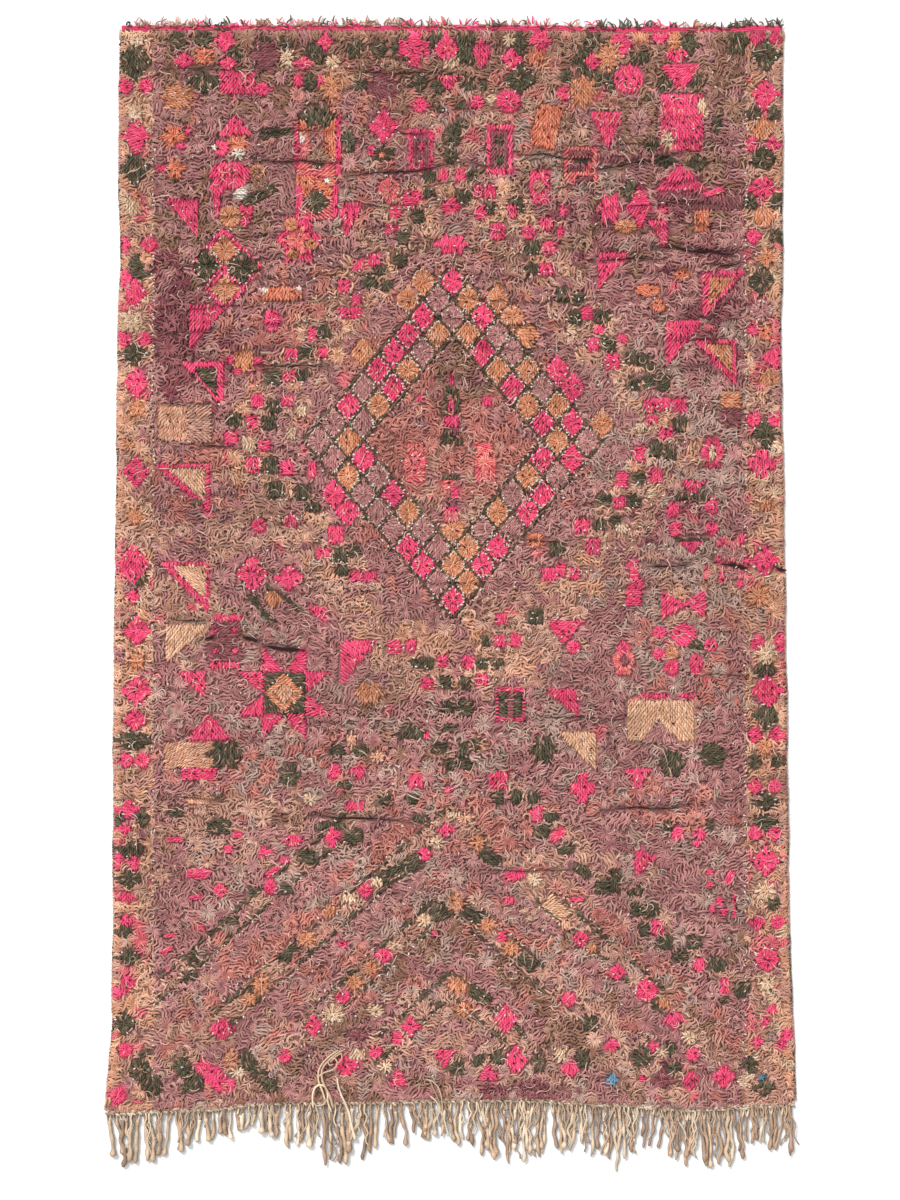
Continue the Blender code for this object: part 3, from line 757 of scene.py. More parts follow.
RIGHT_FIELD = (
    ("pink", "nw", ((162, 238, 32, 36), (272, 261, 42, 44), (233, 310, 38, 46))),
    ("ochre", "nw", ((270, 258, 26, 28),)),
    ("orange", "round", ((231, 242, 18, 12), (196, 258, 28, 13), (207, 273, 15, 13), (84, 507, 20, 16))),
    ("pink", "ne", ((264, 330, 42, 46), (110, 669, 32, 28))),
    ("ochre", "ne", ((267, 326, 28, 30),)),
    ("light", "ne", ((126, 718, 38, 38),)),
    ("aubergine", "flower", ((280, 384, 32, 24),)),
    ("ochre", "square", ((279, 367, 20, 18),)),
    ("pink", "flower", ((261, 420, 26, 40),)),
    ("cream", "round", ((261, 420, 9, 16),)),
    ("blush", "flower", ((280, 526, 38, 54),)),
    ("mauve", "round", ((274, 520, 14, 14), (288, 521, 13, 13), (280, 540, 14, 13))),
    ("pink", "round", (
        (268, 510, 11, 11), (291, 506, 9, 13), (266, 527, 9, 8), (295, 528, 8, 11), (270, 544, 9, 13),
        (288, 551, 10, 11),
    )),
    ("pink", "down", ((241, 455, 28, 15), (240, 515, 24, 13), (113, 600, 36, 24))),
    ("olive", "square", ((240, 464, 36, 6), (240, 506, 36, 6))),
    ("pink", "round", (
        (221, 477, 14, 18), (260, 474, 14, 18), (224, 496, 14, 16), (260, 496, 14, 16),
        (208, 599, 14, 12), (232, 602, 26, 24), (259, 612, 12, 15), (208, 621, 12, 12),
        (220, 634, 16, 19), (244, 631, 14, 22), (122, 614, 13, 13),
    )),
    ("pink", "right", ((222, 572, 26, 30),)),
    ("pink", "left", ((243, 570, 24, 28),)),
    ("pink", "cross", ((131, 755, 24, 32),)),
    ("pink", "line", ((182, 537, 10, 21), (184, 553, 17, 11, -30), (182, 565, 18, 15))),
    ("salmon", "flower", ((172, 627, 25, 42),)),
    ("pink", "diamond", ((172, 615, 12, 18),)),
    ("aubergine", "round", ((173, 628, 10, 11),)),
    ("ochre", "round", ((220, 620, 14, 13),)),
    ("olive", "round", ((245, 612, 12, 12), (218, 793, 11, 12), (259, 792, 11, 12))),
    ("pink", "square", ((59, 671, 30, 34), (204, 663, 28, 6), (236, 663, 16, 6))),
    ("olive", "square", ((59, 671, 24, 26),)),
    ("aubergine", "square", ((59, 671, 8, 26),)),
    ("light", "square", ((209, 688, 68, 42),)),
    ("mauve", "up", ((208, 699, 40, 24),)),
    ("olive", "flower", ((261, 722, 32, 28), (220, 730, 30, 32), (92, 717, 28, 30))),
    ("pink", "down", ((186, 746, 30, 22), (245, 811, 14, 10))),
    ("pink", "round", ((226, 800, 12, 14), (248, 801, 12, 14), (188, 831, 13, 16))),
    ("pink", "right", ((194, 826, 22, 25),)),
    ("pink", "line", (
        (258, 839, 9, 6), (278, 844, 16, 7, -60), (257, 851, 10, 7), (268, 868, 8, 7), (282, 866, 6, 12),
        (261, 876, 7, 9), (271, 879, 10, 7), (282, 879, 6, 11),
    )),
    ("ochre", "round", ((237, 796, 12, 10),)),
)

# %% [markdown]
# A chain of small squares hangs from the lozenge, and little stars, rounds and
# diamonds follow the chevrons down to a row along the foot.

# %% The chain and the foot
FOOT_CHAIN = (
    ("olive", "square", (
        (-24, 630, 13, 12), (-36, 630, 10, 10), (-6, 650, 12, 13), (-4, 674, 11, 13), (-1, 695, 13, 8),
        (-12, 714, 15, 10), (-1, 731, 15, 10), (-40, 766, 13, 10), (-67, 767, 13, 10), (-31, 786, 15, 8),
        (-121, 793, 30, 9), (123, 285, 13, 14),
    )),
    ("olive", "up", ((-40, 697, 30, 18),)),
    ("pink", "square", (
        (-57, 614, 14, 16), (-40, 613, 9, 14), (-9, 628, 12, 12), (-24, 650, 12, 12), (-25, 703, 7, 7),
        (-36, 748, 14, 16), (-2, 757, 9, 8), (-97, 774, 19, 8),
    )),
    ("peach", "star", ((27, 711, 25, 19), (-100, 708, 12, 20), (-74, 724, 17, 14), (13, 784, 24, 13))),
    ("cream", "star", ((-141, 766, 19, 15),)),
    ("olive", "square", (
        (84, 584, 15, 17), (34, 609, 10, 12), (31, 630, 12, 13), (46, 630, 12, 12), (14, 650, 12, 14),
        (12, 675, 18, 16), (12, 715, 12, 14), (24, 711, 10, 14), (14, 731, 14, 10), (46, 764, 13, 13),
        (64, 764, 11, 16), (82, 764, 12, 12), (99, 784, 15, 10), (90, 798, 16, 14), (114, 815, 18, 11),
        (130, 837, 20, 10, 30), (151, 854, 14, 14), (164, 848, 12, 22), (184, 858, 14, 9),
        (186, 876, 14, 12), (201, 876, 13, 14), (192, 896, 10, 16), (213, 909, 16, 15),
        (242, 909, 16, 12), (229, 923, 16, 12), (265, 931, 18, 15), (290, 956, 15, 16), (273, 967, 12, 9),
    )),
    ("pink", "square", (
        (50, 586, 12, 13), (48, 608, 12, 13), (64, 607, 11, 14), (17, 629, 12, 14), (30, 647, 13, 13),
        (47, 747, 18, 18), (85, 781, 12, 16), (106, 801, 19, 10, -35), (64, 842, 22, 11, -15),
        (206, 894, 12, 15), (247, 931, 12, 14), (273, 952, 11, 17), (57, 867, 10, 8),
    )),
)
FOOT_ROWS = (
    ("olive", "round", (
        (-311, 1036, 20, 26, -20), (-300, 1052, 20, 24, -20), (-268, 1034, 18, 26, -30),
        (-256, 1048, 18, 22, -30), (-204, 1028, 22, 17, 45), (-191, 1042, 22, 17, 45),
        (-181, 1052, 16, 12, 45), (-305, 1020, 12, 9), (300, 1033, 16, 13), (220, 1016, 13, 16),
        (222, 1034, 16, 12),
    )),
    ("pink", "round", (
        (-247, 1034, 20, 18), (-238, 1043, 22, 20), (-226, 1052, 22, 16), (-333, 1062, 18, 20),
    )),
    ("pink", "diamond", (
        (-229, 996, 26, 24), (-138, 993, 19, 24), (-41, 993, 21, 22), (54, 985, 24, 30),
        (223, 987, 23, 20), (194, 957, 27, 26), (165, 939, 22, 20), (129, 905, 19, 18), (-5, 797, 19, 16),
        (-27, 821, 18, 17), (-119, 804, 20, 24), (-158, 807, 26, 15), (-186, 818, 16, 13),
        (-181, 854, 18, 19), (-167, 827, 11, 10), (-86, 857, 20, 20), (-108, 963, 18, 17),
        (-68, 922, 22, 19), (117, 966, 21, 19), (-167, 1022, 15, 17), (-105, 1031, 28, 24),
        (-76, 1018, 19, 15), (65, 1026, 24, 30), (119, 1035, 22, 22), (161, 1012, 17, 15),
        (201, 1012, 15, 13), (241, 1021, 19, 17), (239, 1047, 20, 20), (272, 1043, 23, 26),
    )),
    ("pink", "down", ((-7, 1026, 24, 20),)),
    ("pink", "up", ((37, 1038, 22, 18), (-53, 1043, 20, 20))),
    ("pink", "line", (
        (-178, 838, 20, 6, -35), (126, 866, 16, 4), (-256, 864, 13, 5, -15), (-285, 917, 14, 6, -30),
        (-281, 902, 14, 4, -10), (-250, 894, 9, 5), (-276, 806, 18, 5), (-213, 801, 12, 7),
        (-223, 816, 10, 8), (-109, 911, 10, 5, 20), (-17, 900, 9, 6), (50, 903, 10, 11),
        (-54, 1004, 11, 12), (-283, 936, 7, 5), (191, 1045, 9, 6),
    )),
    ("olive", "line", (
        (-52, 837, 50, 15, -28), (-98, 803, 20, 15), (-145, 823, 18, 13), (-165, 856, 15, 10),
        (-197, 859, 12, 9), (-161, 920, 20, 11, -40), (-203, 957, 16, 9, -40), (-233, 793, 24, 15),
        (-219, 887, 13, 9), (-259, 925, 10, 18), (-261, 943, 15, 8, -20), (-275, 779, 15, 11),
        (-232, 765, 12, 7), (38, 824, 24, 12, 35), (23, 882, 24, 14, 30), (76, 927, 20, 17, 40),
        (28, 962, 26, 12, 30),
    )),
    ("olive", "flower", (
        (-265, 1055, 16, 12), (6, 1035, 20, 18), (139, 990, 21, 20), (-11, 879, 27, 24),
        (27, 1026, 18, 16), (47, 1023, 18, 18), (87, 1028, 16, 26), (131, 1025, 20, 22),
        (191, 1023, 25, 26),
    )),
    ("aubergine", "flower", ((211, 1047, 30, 18), (-94, 1002, 24, 15))),
    ("ochre", "star", (
        (-145, 906, 22, 20), (-190, 951, 23, 24), (-202, 966, 19, 18), (-81, 935, 21, 19),
        (-97, 949, 22, 21), (-121, 878, 20, 18), (5, 870, 24, 22), (6, 952, 25, 22), (26, 810, 20, 20),
        (36, 891, 21, 19), (60, 915, 21, 20), (140, 915, 15, 13), (212, 969, 20, 18),
        (-220, 1026, 20, 24), (12, 976, 22, 18),
    )),
    ("beige", "star", (
        (-174, 935, 20, 18), (-250, 778, 22, 14), (-28, 975, 23, 21), (55, 831, 14, 12),
        (314, 1033, 22, 18), (-290, 842, 28, 22),
    )),
    ("cream", "star", (
        (-119, 981, 28, 25), (-103, 864, 22, 18), (-74, 849, 17, 13), (-14, 809, 18, 15),
        (-27, 887, 20, 18), (-57, 911, 15, 12), (83, 846, 20, 17), (-76, 977, 22, 19),
        (-214, 1039, 20, 16), (-94, 1021, 22, 17), (-66, 1033, 20, 16), (108, 1021, 18, 18),
        (210, 1019, 14, 13), (237, 1004, 20, 17), (292, 1047, 17, 19), (2, 781, 24, 10),
    )),
    ("light", "square", ((105, 875, 28, 15, 42),)),
    ("peach", "flower", ((115, 891, 17, 15), (-252, 766, 40, 12))),
    ("blue", "cross", ((161, 1046, 13, 14),)),
)

# %% [markdown]
# A small figure fills the middle of the lozenge, and a star has points made of
# triangles round a dark square. Each function or table only paints on the
# chart, so what is charted later lies on top.

# %% The lozenge's middle, the star and the whole pattern
LOZENGE_MIDDLE = (
    ("salmon", "square", (
        (-36, 419, 15, 18), (-36, 443, 19, 13), (33, 419, 17, 18), (34, 442, 19, 15), (-3, 452, 13, 11),
    )),
    ("salmon", "diamond", ((-36, 430, 27, 24), (34, 430, 25, 24))),
    ("blush", "square", ((-36, 428, 9, 10), (34, 444, 9, 9), (-1, 482, 16, 17))),
    ("olive", "square", (
        (-4, 361, 7, 20, 20), (4, 362, 7, 20, -20), (-7, 375, 8, 14), (5, 376, 8, 12, -30),
        (-4, 403, 10, 18, 20), (6, 409, 12, 7), (-1, 444, 19, 6),
    )),
    ("aubergine", "round", ((4, 397, 8, 15), (-2, 469, 14, 13))),
    ("pink", "square", (
        (0, 346, 5, 14), (0, 373, 7, 11), (0, 389, 15, 10), (4, 460, 7, 13), (-20, 465, 9, 5),
        (35, 369, 11, 11), (-32, 367, 6, 8), (0, 476, 13, 5),
    )),
)
STAR_PLACE = (-167, 660)
STAR_POINTS = (
    (-11, -33, 22, 26, "sw"), (11, -33, 22, 26, "se"), (-11, 33, 22, 26, "nw"), (11, 33, 22, 26, "ne"),
    (-33, -11, 26, 22, "ne"), (-33, 12, 26, 22, "se"), (33, -11, 26, 22, "nw"), (33, 12, 26, 22, "sw"),
)


def chart_star(chart):
    """The eight-pointed star: a diamond in a dark square, and two points on each side."""
    across, down = STAR_PLACE
    for right, below, wide, high, shape in STAR_POINTS:
        chart.paint("pink", shape, [(across + right, down + below, wide, high)])
    chart.paint("olive", "square", [(across, down, 42, 42)])
    chart.paint("ochre", "diamond", [(across, down, 38, 39)])
    chart.paint("peach", "diamond", [(across, down, 20, 22)])


PLACED_MOTIFS = (LEFT_BORDER, RIGHT_BORDER, HEAD_ROWS, UPPER_FIELD, LEFT_FIELD, RIGHT_FIELD, FOOT_CHAIN,
                 FOOT_ROWS, LOZENGE_MIDDLE)
print(sum(len(rows) for table in PLACED_MOTIFS for _, _, rows in table), "motifs placed by hand")


def work_pattern(x, y):
    """Chart the whole rug for knots at the given places."""
    chart = Chart(x, y)
    fade_ground(chart)
    chart_band(chart)
    chart_lozenge(chart)
    chart_chevrons(chart)
    for table in PLACED_MOTIFS:
        for wool, shape, rows in table:
            chart.paint(wool, shape, rows)
    chart_star(chart)
    return chart


# %% [markdown]
# ## The ground weave
# Under the knots lies the woven cloth that holds them. It shows only as the
# dark between the yarns, so it is a thin slab in the pattern's wools, darkened
# as painted shade under the pile, a little lower than the pile. A grid is added
# at the rug's size, its points are moved to the uneven edges, and its rim is
# extruded down to the floor.

# %% Lay the ground weave
BED_COLUMNS, BED_ROWS = 96, 152
BED_INSET = 0.998
BED_SINK = 0.0055
BED_FLOOR = 0.0008
RIM_DROP = -0.004

deselect()
bpy.ops.mesh.primitive_grid_add(x_subdivisions=BED_COLUMNS, y_subdivisions=BED_ROWS, size=1.0)
bed = bpy.context.object
bed.name = "ground_weave"
share = np.array([v.co for v in bed.data.vertices])
v_share = 0.5 - share[:, 1]
rough_y = HEAD_Y + (FOOT_Y - HEAD_Y) * v_share
left_x, right_x = side_x(rough_y, -1), side_x(rough_y, 1)
bed_x = left_x + (right_x - left_x) * (share[:, 0] + 0.5)
bed_y = head_y(bed_x) + (foot_y(bed_x) - head_y(bed_x)) * v_share
bed_z = slab_top(bed_x * BED_INSET, bed_y * BED_INSET) - BED_SINK
bed.data.vertices.foreach_set("co", np.column_stack((bed_x, bed_y, bed_z)).ravel())
bed_chart = work_pattern(bed_x, bed_y)

bpy.ops.object.mode_set(mode="EDIT")
bpy.ops.mesh.select_all(action="SELECT")
bpy.ops.mesh.region_to_loop()
bpy.ops.mesh.extrude_edges_move(TRANSFORM_OT_translate={"value": (0, 0, RIM_DROP)})
bpy.ops.transform.resize(value=(1, 1, 0))
bpy.ops.mesh.edge_face_add()
bpy.ops.mesh.select_all(action="SELECT")
bpy.ops.mesh.normals_make_consistent(inside=False)
bpy.ops.object.mode_set(mode="OBJECT")
print("Ground weave:", len(bed.data.vertices), "points")
bed_points = np.array([v.co for v in bed.data.vertices])
bed_points[len(share):, 2] = BED_FLOOR
bed.data.vertices.foreach_set("co", bed_points.ravel())
bed.data.update()

# %% [markdown]
# ## Yarn as a shape
# Every yarn on the rug is the same kind of thing: a path, with a thickness at
# each of its stations. One function turns many paths at once into one mesh. A
# cord is a closed tube. A lock of pile lies on the weave and its underside can
# never be seen, so it is a ridge: two long faces and a blunt end. The function
# also writes the colour of each station, a map of the yarn itself (round it,
# and metres along it) for its twist, and a second map in which each yarn has
# its own small patch, so that its colours can be baked for other programs.

# %% Turn paths into yarn
PATCH_MARGIN = 0.06
BODY_START, BODY_LENGTH = 0.08, 0.84
CAP_MIDDLE, CAP_REACH = (0.5, 0.04), (0.4, 0.03)
END_CAP_SHIFT = (0, 0.92)
RIDGE_TURNS = np.radians((205.0, 90.0, -25.0))
TINY = 1e-9


def write_faces(mesh, number, stations, sides, ridge):
    """The long faces of every yarn and its blunt ends."""
    strips = sides - 1 if ridge else sides
    first = (np.arange(number) * stations * sides)[:, None, None]
    ring = (np.arange(stations - 1) * sides)[None, :, None]
    side = np.arange(strips)[None, None, :]
    after = (side + 1) % sides
    quads = np.stack((first + ring + side, first + ring + after,
                      first + ring + sides + after, first + ring + sides + side), axis=3).reshape(-1, 4)
    end_caps = first[:, 0] + (stations - 1) * sides + np.arange(sides)
    start_caps = first[:, 0] + np.arange(sides)[::-1]
    caps = end_caps if ridge else np.concatenate((start_caps, end_caps))
    corners = np.concatenate((quads.ravel(), caps.ravel()))
    totals = np.concatenate((np.full(len(quads), 4), np.full(len(caps), sides)))
    mesh.loops.add(len(corners))
    mesh.loops.foreach_set("vertex_index", corners.astype(np.int32))
    mesh.polygons.add(len(totals))
    mesh.polygons.foreach_set("loop_start", (np.cumsum(totals) - totals).astype(np.int32))
    mesh.update(calc_edges=True)
    mesh.polygons.foreach_set("use_smooth", np.ones(len(totals), dtype=bool))
    return 2 * len(quads) + len(caps) * (sides - 2)


def write_maps(mesh, number, stations, sides, ridge, travelled):
    """The map of the yarn, and the map with a patch for each yarn."""
    strips = sides - 1 if ridge else sides
    side = np.arange(strips)[None, :]
    row = np.arange(stations - 1)[:, None]
    u = np.stack((side, side + 1, side + 1, side), axis=2) / strips + np.zeros((stations - 1, 1, 1))
    v = np.stack((row, row, row + 1, row + 1), axis=2) / (stations - 1) + np.zeros((1, strips, 1))
    patch = np.stack((u, v * BODY_LENGTH + BODY_START), axis=3).reshape(-1, 2)
    turn = 2 * math.pi * np.arange(sides) / sides
    cap = np.array(CAP_MIDDLE) + np.stack((np.cos(turn), np.sin(turn)), axis=1) * CAP_REACH
    columns = math.ceil(math.sqrt(number))
    lines = math.ceil(number / columns)
    cell = np.stack((np.arange(number) % columns, np.arange(number) // columns), axis=1)

    def in_patches(layout):
        """The same small layout, laid in every yarn's own patch."""
        inner = PATCH_MARGIN / 2 + (1 - PATCH_MARGIN) * layout
        return ((cell[:, None, :] + inner[None]) / (columns, lines)).reshape(-1, 2)

    start_caps = [] if ridge else [in_patches(cap[::-1])]
    layouts = np.concatenate([in_patches(patch), *start_caps, in_patches(cap + END_CAP_SHIFT)])
    mesh.uv_layers.new(name="OFBake").data.foreach_set("uv", layouts.ravel())
    reached = np.stack([travelled[:, row[:, 0] + k] for k in (0, 0, 1, 1)], axis=2)[:, :, None, :]
    reached = reached + np.zeros((1, 1, strips, 1))
    wound = np.stack((np.broadcast_to(u[None], reached.shape), reached), axis=4).reshape(-1, 2)
    ends = np.zeros(((1 if ridge else 2) * number * sides, 2))
    mesh.uv_layers.new(name="yarn").data.foreach_set("uv", np.concatenate((wound, ends)).ravel())
    mesh.uv_layers.active = mesh.uv_layers["OFBake"]


def make_yarns(name, paths, thickness, colours, sides=3, flat=0.8, lobes=0.0, twist=0.0,
               ridge=False, painted_side_shade=0.0):
    """Build yarns; paths is (yarns, stations, 3), thickness (yarns, stations)."""
    number, stations = thickness.shape
    along = np.gradient(paths, axis=1)
    along /= np.linalg.norm(along, axis=2, keepdims=True) + TINY
    across = np.stack((along[..., 1], -along[..., 0], np.zeros((number, stations))), axis=2)
    across /= np.linalg.norm(across, axis=2, keepdims=True) + TINY
    upward = np.cross(across, along)
    steps = np.linalg.norm(np.diff(paths, axis=1), axis=2)
    travelled = np.concatenate((np.zeros((number, 1)), np.cumsum(steps, axis=1)), axis=1)
    turn = RIDGE_TURNS if ridge else -2 * math.pi * (np.arange(sides) + 0.5) / sides - math.pi / 6
    turn = turn[None, None, :] + np.zeros((number, stations, 1))
    swell = 1 + lobes * np.cos(2 * (turn - twist * travelled[..., None]))
    radius = thickness[..., None] / 2 * swell
    points = (paths[:, :, None, :]
              + across[:, :, None, :] * (np.cos(turn) * radius)[..., None]
              + upward[:, :, None, :] * (np.sin(turn) * radius * flat)[..., None])

    mesh = bpy.data.meshes.new(name)
    mesh.vertices.add(number * stations * sides)
    mesh.vertices.foreach_set("co", points.ravel())
    triangles = write_faces(mesh, number, stations, sides, ridge)
    write_maps(mesh, number, stations, sides, ridge, travelled)
    dye = mesh.color_attributes.new(name="dye", type="FLOAT_COLOR", domain="POINT")
    rgba = np.ones((number, stations, sides, 4))
    # The lower sides and underside of each yarn are darkened here as painted shade.
    rgba[..., :3] = colours[:, :, None, :] * (1 - painted_side_shade * (1 - np.clip(np.sin(turn), 0, 1)))[..., None]
    dye.data.foreach_set("color", rgba.ravel())
    thing = bpy.data.objects.new(name, mesh)
    bpy.context.collection.objects.link(thing)
    print(name, number, "yarns,", triangles, "triangles")
    return thing


# %% [markdown]
# What varies from yarn to yarn comes from one seeded generator. Two small
# functions save writing: one puts the three coordinates of many paths together,
# and one gives each yarn its thickness, along it by a profile and as a whole by
# chance.

# %% Paths and thickness by chance
rng = np.random.default_rng(1975)


def join_up(x, y, z):
    """Paths of many yarns from their coordinates, station by station."""
    return np.stack(np.broadcast_arrays(x, y, z), axis=2)


def tapered(thickness, profile, least, most, number):
    """The thickness of each yarn at its stations."""
    return thickness * np.array(profile)[None, :] * rng.uniform(least, most, (number, 1))


# %% [markdown]
# ## The pile
# Each knot is a lock of wool about 6 mm wide that leaves the weave, crests and
# lies down over the root of the next one. Within a tuft the locks lie close
# together. So each tuft is laid out on its own small plan: rows of a comb, or
# rings round its middle. A plan is cut off where the next tuft begins.

# %% Plan the tufts
LOCK_WIDTH = 0.0048
ROW_STEP = 0.0242
MOTIF_STEP = 0.0122
TUFT_REACH = 0.043
RUG_REACH = (0.97, 1.53)


def comb_plan(step, reach_along, reach_side):
    """Places in a comb that runs along x: rows of locks side by side."""
    number = max(1, int(2 * reach_side / LOCK_WIDTH + 0.3))
    side = (np.arange(number) - (number - 1) / 2) * LOCK_WIDTH
    along = np.arange(-reach_along, reach_along, step) + step / 2
    plan_x, plan_y = np.meshgrid(along, side)
    plan_x = plan_x + step * 0.5 * (np.arange(number) % 2)[:, None]
    return plan_x.ravel(), plan_y.ravel(), np.zeros(plan_x.size)


def ring_plan(inner, gap, size, turned):
    """Places on rings round the middle; turned is the angle off the ray."""
    plan = []
    for radius in np.arange(inner, TUFT_REACH, gap):
        number = max(3, int(2 * math.pi * radius / size))
        angle = 2 * math.pi * (np.arange(number) + (radius / gap) % 1) / number
        plan.append(np.column_stack((radius * np.cos(angle), radius * np.sin(angle), angle + turned)))
    plan = np.concatenate(plan)
    return plan[:, 0], plan[:, 1], plan[:, 2]


PLANS = (
    comb_plan(ROW_STEP, TUFT_REACH, TUFT_REACH),
    ring_plan(0.013, ROW_STEP * 0.9, LOCK_WIDTH, 0.0),
    ring_plan(0.004, LOCK_WIDTH, ROW_STEP, math.pi / 2),
)
PLAN_SHARES = (0.56, 0.74)
CURLED = 2
CURLED_BEND, CURLED_LEAST = 1.2, 0.006
TUFT_ARC = 2.4

places = []
for i in range(TUFT_COLUMNS):
    for j in range(TUFT_ROWS):
        if abs(tuft_x[i, j]) > RUG_REACH[0] or abs(tuft_y[i, j]) > RUG_REACH[1]:
            continue
        habit, spin = tuft_luck[i, j, 2], 2 * tuft_luck[i, j, 3] - 1
        turn = math.pi * np.sign(spin) * abs(spin) ** (1.0 if habit > PLAN_SHARES[0] else 1.8)
        kind = int(habit > PLAN_SHARES[0]) + int(habit > PLAN_SHARES[1])
        plan_x, plan_y, plan_way = PLANS[kind]
        x = tuft_x[i, j] + plan_x * math.cos(turn) - plan_y * math.sin(turn)
        y = tuft_y[i, j] + plan_x * math.sin(turn) + plan_y * math.cos(turn)
        bend = np.full(x.shape, TUFT_ARC * (tuft_luck[i, j, 4] - 0.5))
        if kind == CURLED:
            bend = ROW_STEP * CURLED_BEND / np.maximum(np.hypot(plan_x, plan_y), CURLED_LEAST)
        owner = np.full(x.shape, i * TUFT_ROWS + j)
        places.append(np.column_stack((x, y, plan_way + turn, bend, owner)))
places = np.concatenate(places)
own_i, own_j = nearest_tuft(places[:, 0], places[:, 1])
places = places[own_i * TUFT_ROWS + own_j == places[:, 4]]
print(len(places), "places in", TUFT_COLUMNS * TUFT_ROWS, "tufts")

# %% [markdown]
# A motif has a plan of its own, so that it comes out full and with a clean
# edge. Its locks are shorter and lie in level rows, pointing to the foot, with
# a slight fan from its middle; some motifs lie sideways instead.

# %% Lay the ground and the motifs
SPIKY_SHAPES = ("diamond", "round", "star", "flower")
SPIKY_WIDTH = 34

ground_chart = work_pattern(places[:, 0], places[:, 1])
on_ground = ground_chart.motif == 0
ground_places = places[on_ground]
ground_wool = ground_chart.wool[on_ground]

motif_places = []
for number, (across, down, wide, high, shape, turned) in enumerate(ground_chart.placed, start=1):
    reach_along, reach_side = wide / 2 * COUNT, high / 2 * COUNT
    turn, fan_out = -turned, 0.0
    if shape != "line":
        reach_along = reach_side = math.hypot(reach_along, reach_side)
        habit = rng.random()
        turn = -math.pi / 2 if habit < 0.6 else (0.0 if habit < 0.75 else rng.uniform(0, 2 * math.pi))
        fan_out = rng.uniform(0.2, 0.9)
    spiky = shape in SPIKY_SHAPES and wide < SPIKY_WIDTH and rng.random() < 0.65
    if spiky:
        fan_out = 0.0
        plan_x, plan_y, plan_way = ring_plan(0.0042, MOTIF_STEP * 0.9, LOCK_WIDTH, 0.0)
    else:
        plan_x, plan_y, plan_way = comb_plan(MOTIF_STEP, reach_along, reach_side)
    x = across * COUNT + plan_x * math.cos(turn) - plan_y * math.sin(turn)
    y = HEAD_LINE - down * COUNT + plan_x * math.sin(turn) + plan_y * math.cos(turn)
    fan = np.clip(plan_y / max(reach_side, 0.01), -1, 1) * fan_out
    motif_bend = np.full(x.shape, rng.normal(0, 0.3))
    motif_places.append(np.column_stack((x, y, turn + plan_way + fan, motif_bend, np.full(x.shape, number))))
motif_places = np.concatenate(motif_places)
motif_chart = work_pattern(motif_places[:, 0], motif_places[:, 1])
own = motif_chart.motif == motif_places[:, 4]
motif_places, motif_wool = motif_places[own], motif_chart.wool[own]
print(len(ground_places), "locks of ground,", len(motif_places), "in", len(ground_chart.placed), "motifs")

# %% [markdown]
# The pile has parted along creases, and it leans to the foot in soft rolls.
# Along the creases and below the step of each roll the locks are darkened as
# painted shade. A crease is where it starts and where it ends, each across and
# down, and how dark its painted shade is.

# %% Where the pile parts and rolls
ROLL_HEIGHT = 0.0050
ROLL_PITCH = 0.064
CREASES = (
    (-296, 38, -205, 38, 0.4), (-102, 41, 0, 39, 0.5), (-200, 101, -112, 98, 0.4),
    (-196, 128, -112, 131, 0.6), (-106, 146, 10, 131, 0.6), (-62, 100, -22, 100, 0.5),
    (10, 131, 40, 133, 0.4), (62, 121, 140, 126, 0.55), (140, 140, 230, 122, 0.75),
    (140, 229, 215, 226, 0.6), (200, 214, 294, 222, 0.8), (258, 233, 294, 230, 0.7),
    (-196, 333, -120, 335, 0.55), (-292, 371, -244, 372, 0.35), (-250, 413, -218, 413, 0.6),
    (-290, 480, -150, 482, 0.35), (193, 532, 240, 533, 0.7), (267, 532, 299, 533, 1.0),
    (322, 534, 336, 535, 0.9), (-248, 608, -236, 605, 0.9), (-211, 605, -192, 609, 1.0),
    (-189, 613, -143, 616, 1.0), (-280, 588, -244, 590, 0.5), (-140, 782, -40, 790, 0.65),
    (150, 778, 240, 772, 0.6), (80, 684, 180, 688, 0.4), (-292, 764, -230, 768, 0.4),
    (30, 838, 120, 836, 0.45), (60, 505, 130, 508, 0.4), (250, 640, 294, 642, 0.4),
)
CREASE_WIDTH = 2.6


def crease_wander(x, y):
    """How many counts a crease lies off its straight line."""
    return 5.0 * (soft_noise(x, y * 0.1, 0.05, 57) - 0.5)


def creases(x, y):
    """How deep in a crease a place lies, from 0 to 1."""
    across, down = x / COUNT, (HEAD_LINE - y) / COUNT
    down = down + crease_wander(x, y)
    deepest = np.zeros(np.shape(x))
    for left, start, right, end, dark in CREASES:
        share = np.clip((across - left) / (right - left), 0, 1)
        off_down = down - (start + (end - start) * share)
        off_across = across - (left + (right - left) * share)
        off = np.hypot(off_down, off_across)
        deepest = np.maximum(deepest, dark * np.exp(-(off / CREASE_WIDTH) ** 2))
    return deepest


def rolls(x, y):
    """Height of the rolls in which the pile leans to the foot, and the painted shadow below each roll's step.
    """
    wander = 0.036 * (soft_noise(x, y * 0.3, 0.16, 51) - 0.5)
    phase = (y + wander) / ROLL_PITCH + 3.0 * soft_noise(x * 0.2, y, 0.3, 55)
    up_the_roll = phase - np.floor(phase)
    strength = np.clip(soft_noise(x, y, 0.22, 56) * 1.7 - 0.45, 0, 1) * np.clip(0.75 + 0.35 * y, 0.3, 1)
    height = ROLL_HEIGHT * strength * (1 - up_the_roll) ** 1.3
    # Below each roll's step the pile is darkened as painted shadow.
    shade = 1 - 0.50 * strength * np.clip((up_the_roll - 0.72) / 0.25, 0, 1)
    return height + 0.0015 * soft_noise(x, y, 0.03, 52), shade


# %% [markdown]
# A lock rises out of the weave, crests and lies down with its tip on the next
# one. It may bend sideways as a whole, and it is crimped in step with its
# neighbours. Past the edge of the rug it droops towards the floor.

# %% Bend a knot into a lock
ROOT_SINK = 0.0050
BASE_SINK = 0.0020
OVERHANG = 0.0085
FOOT_OVERHANG, HEAD_OVERHANG = 1.7, 1.2
DROOP, DROOP_REACH = 0.55, 0.012
PILE_TOP = 0.0248
CRIMP_LENGTH = 0.034


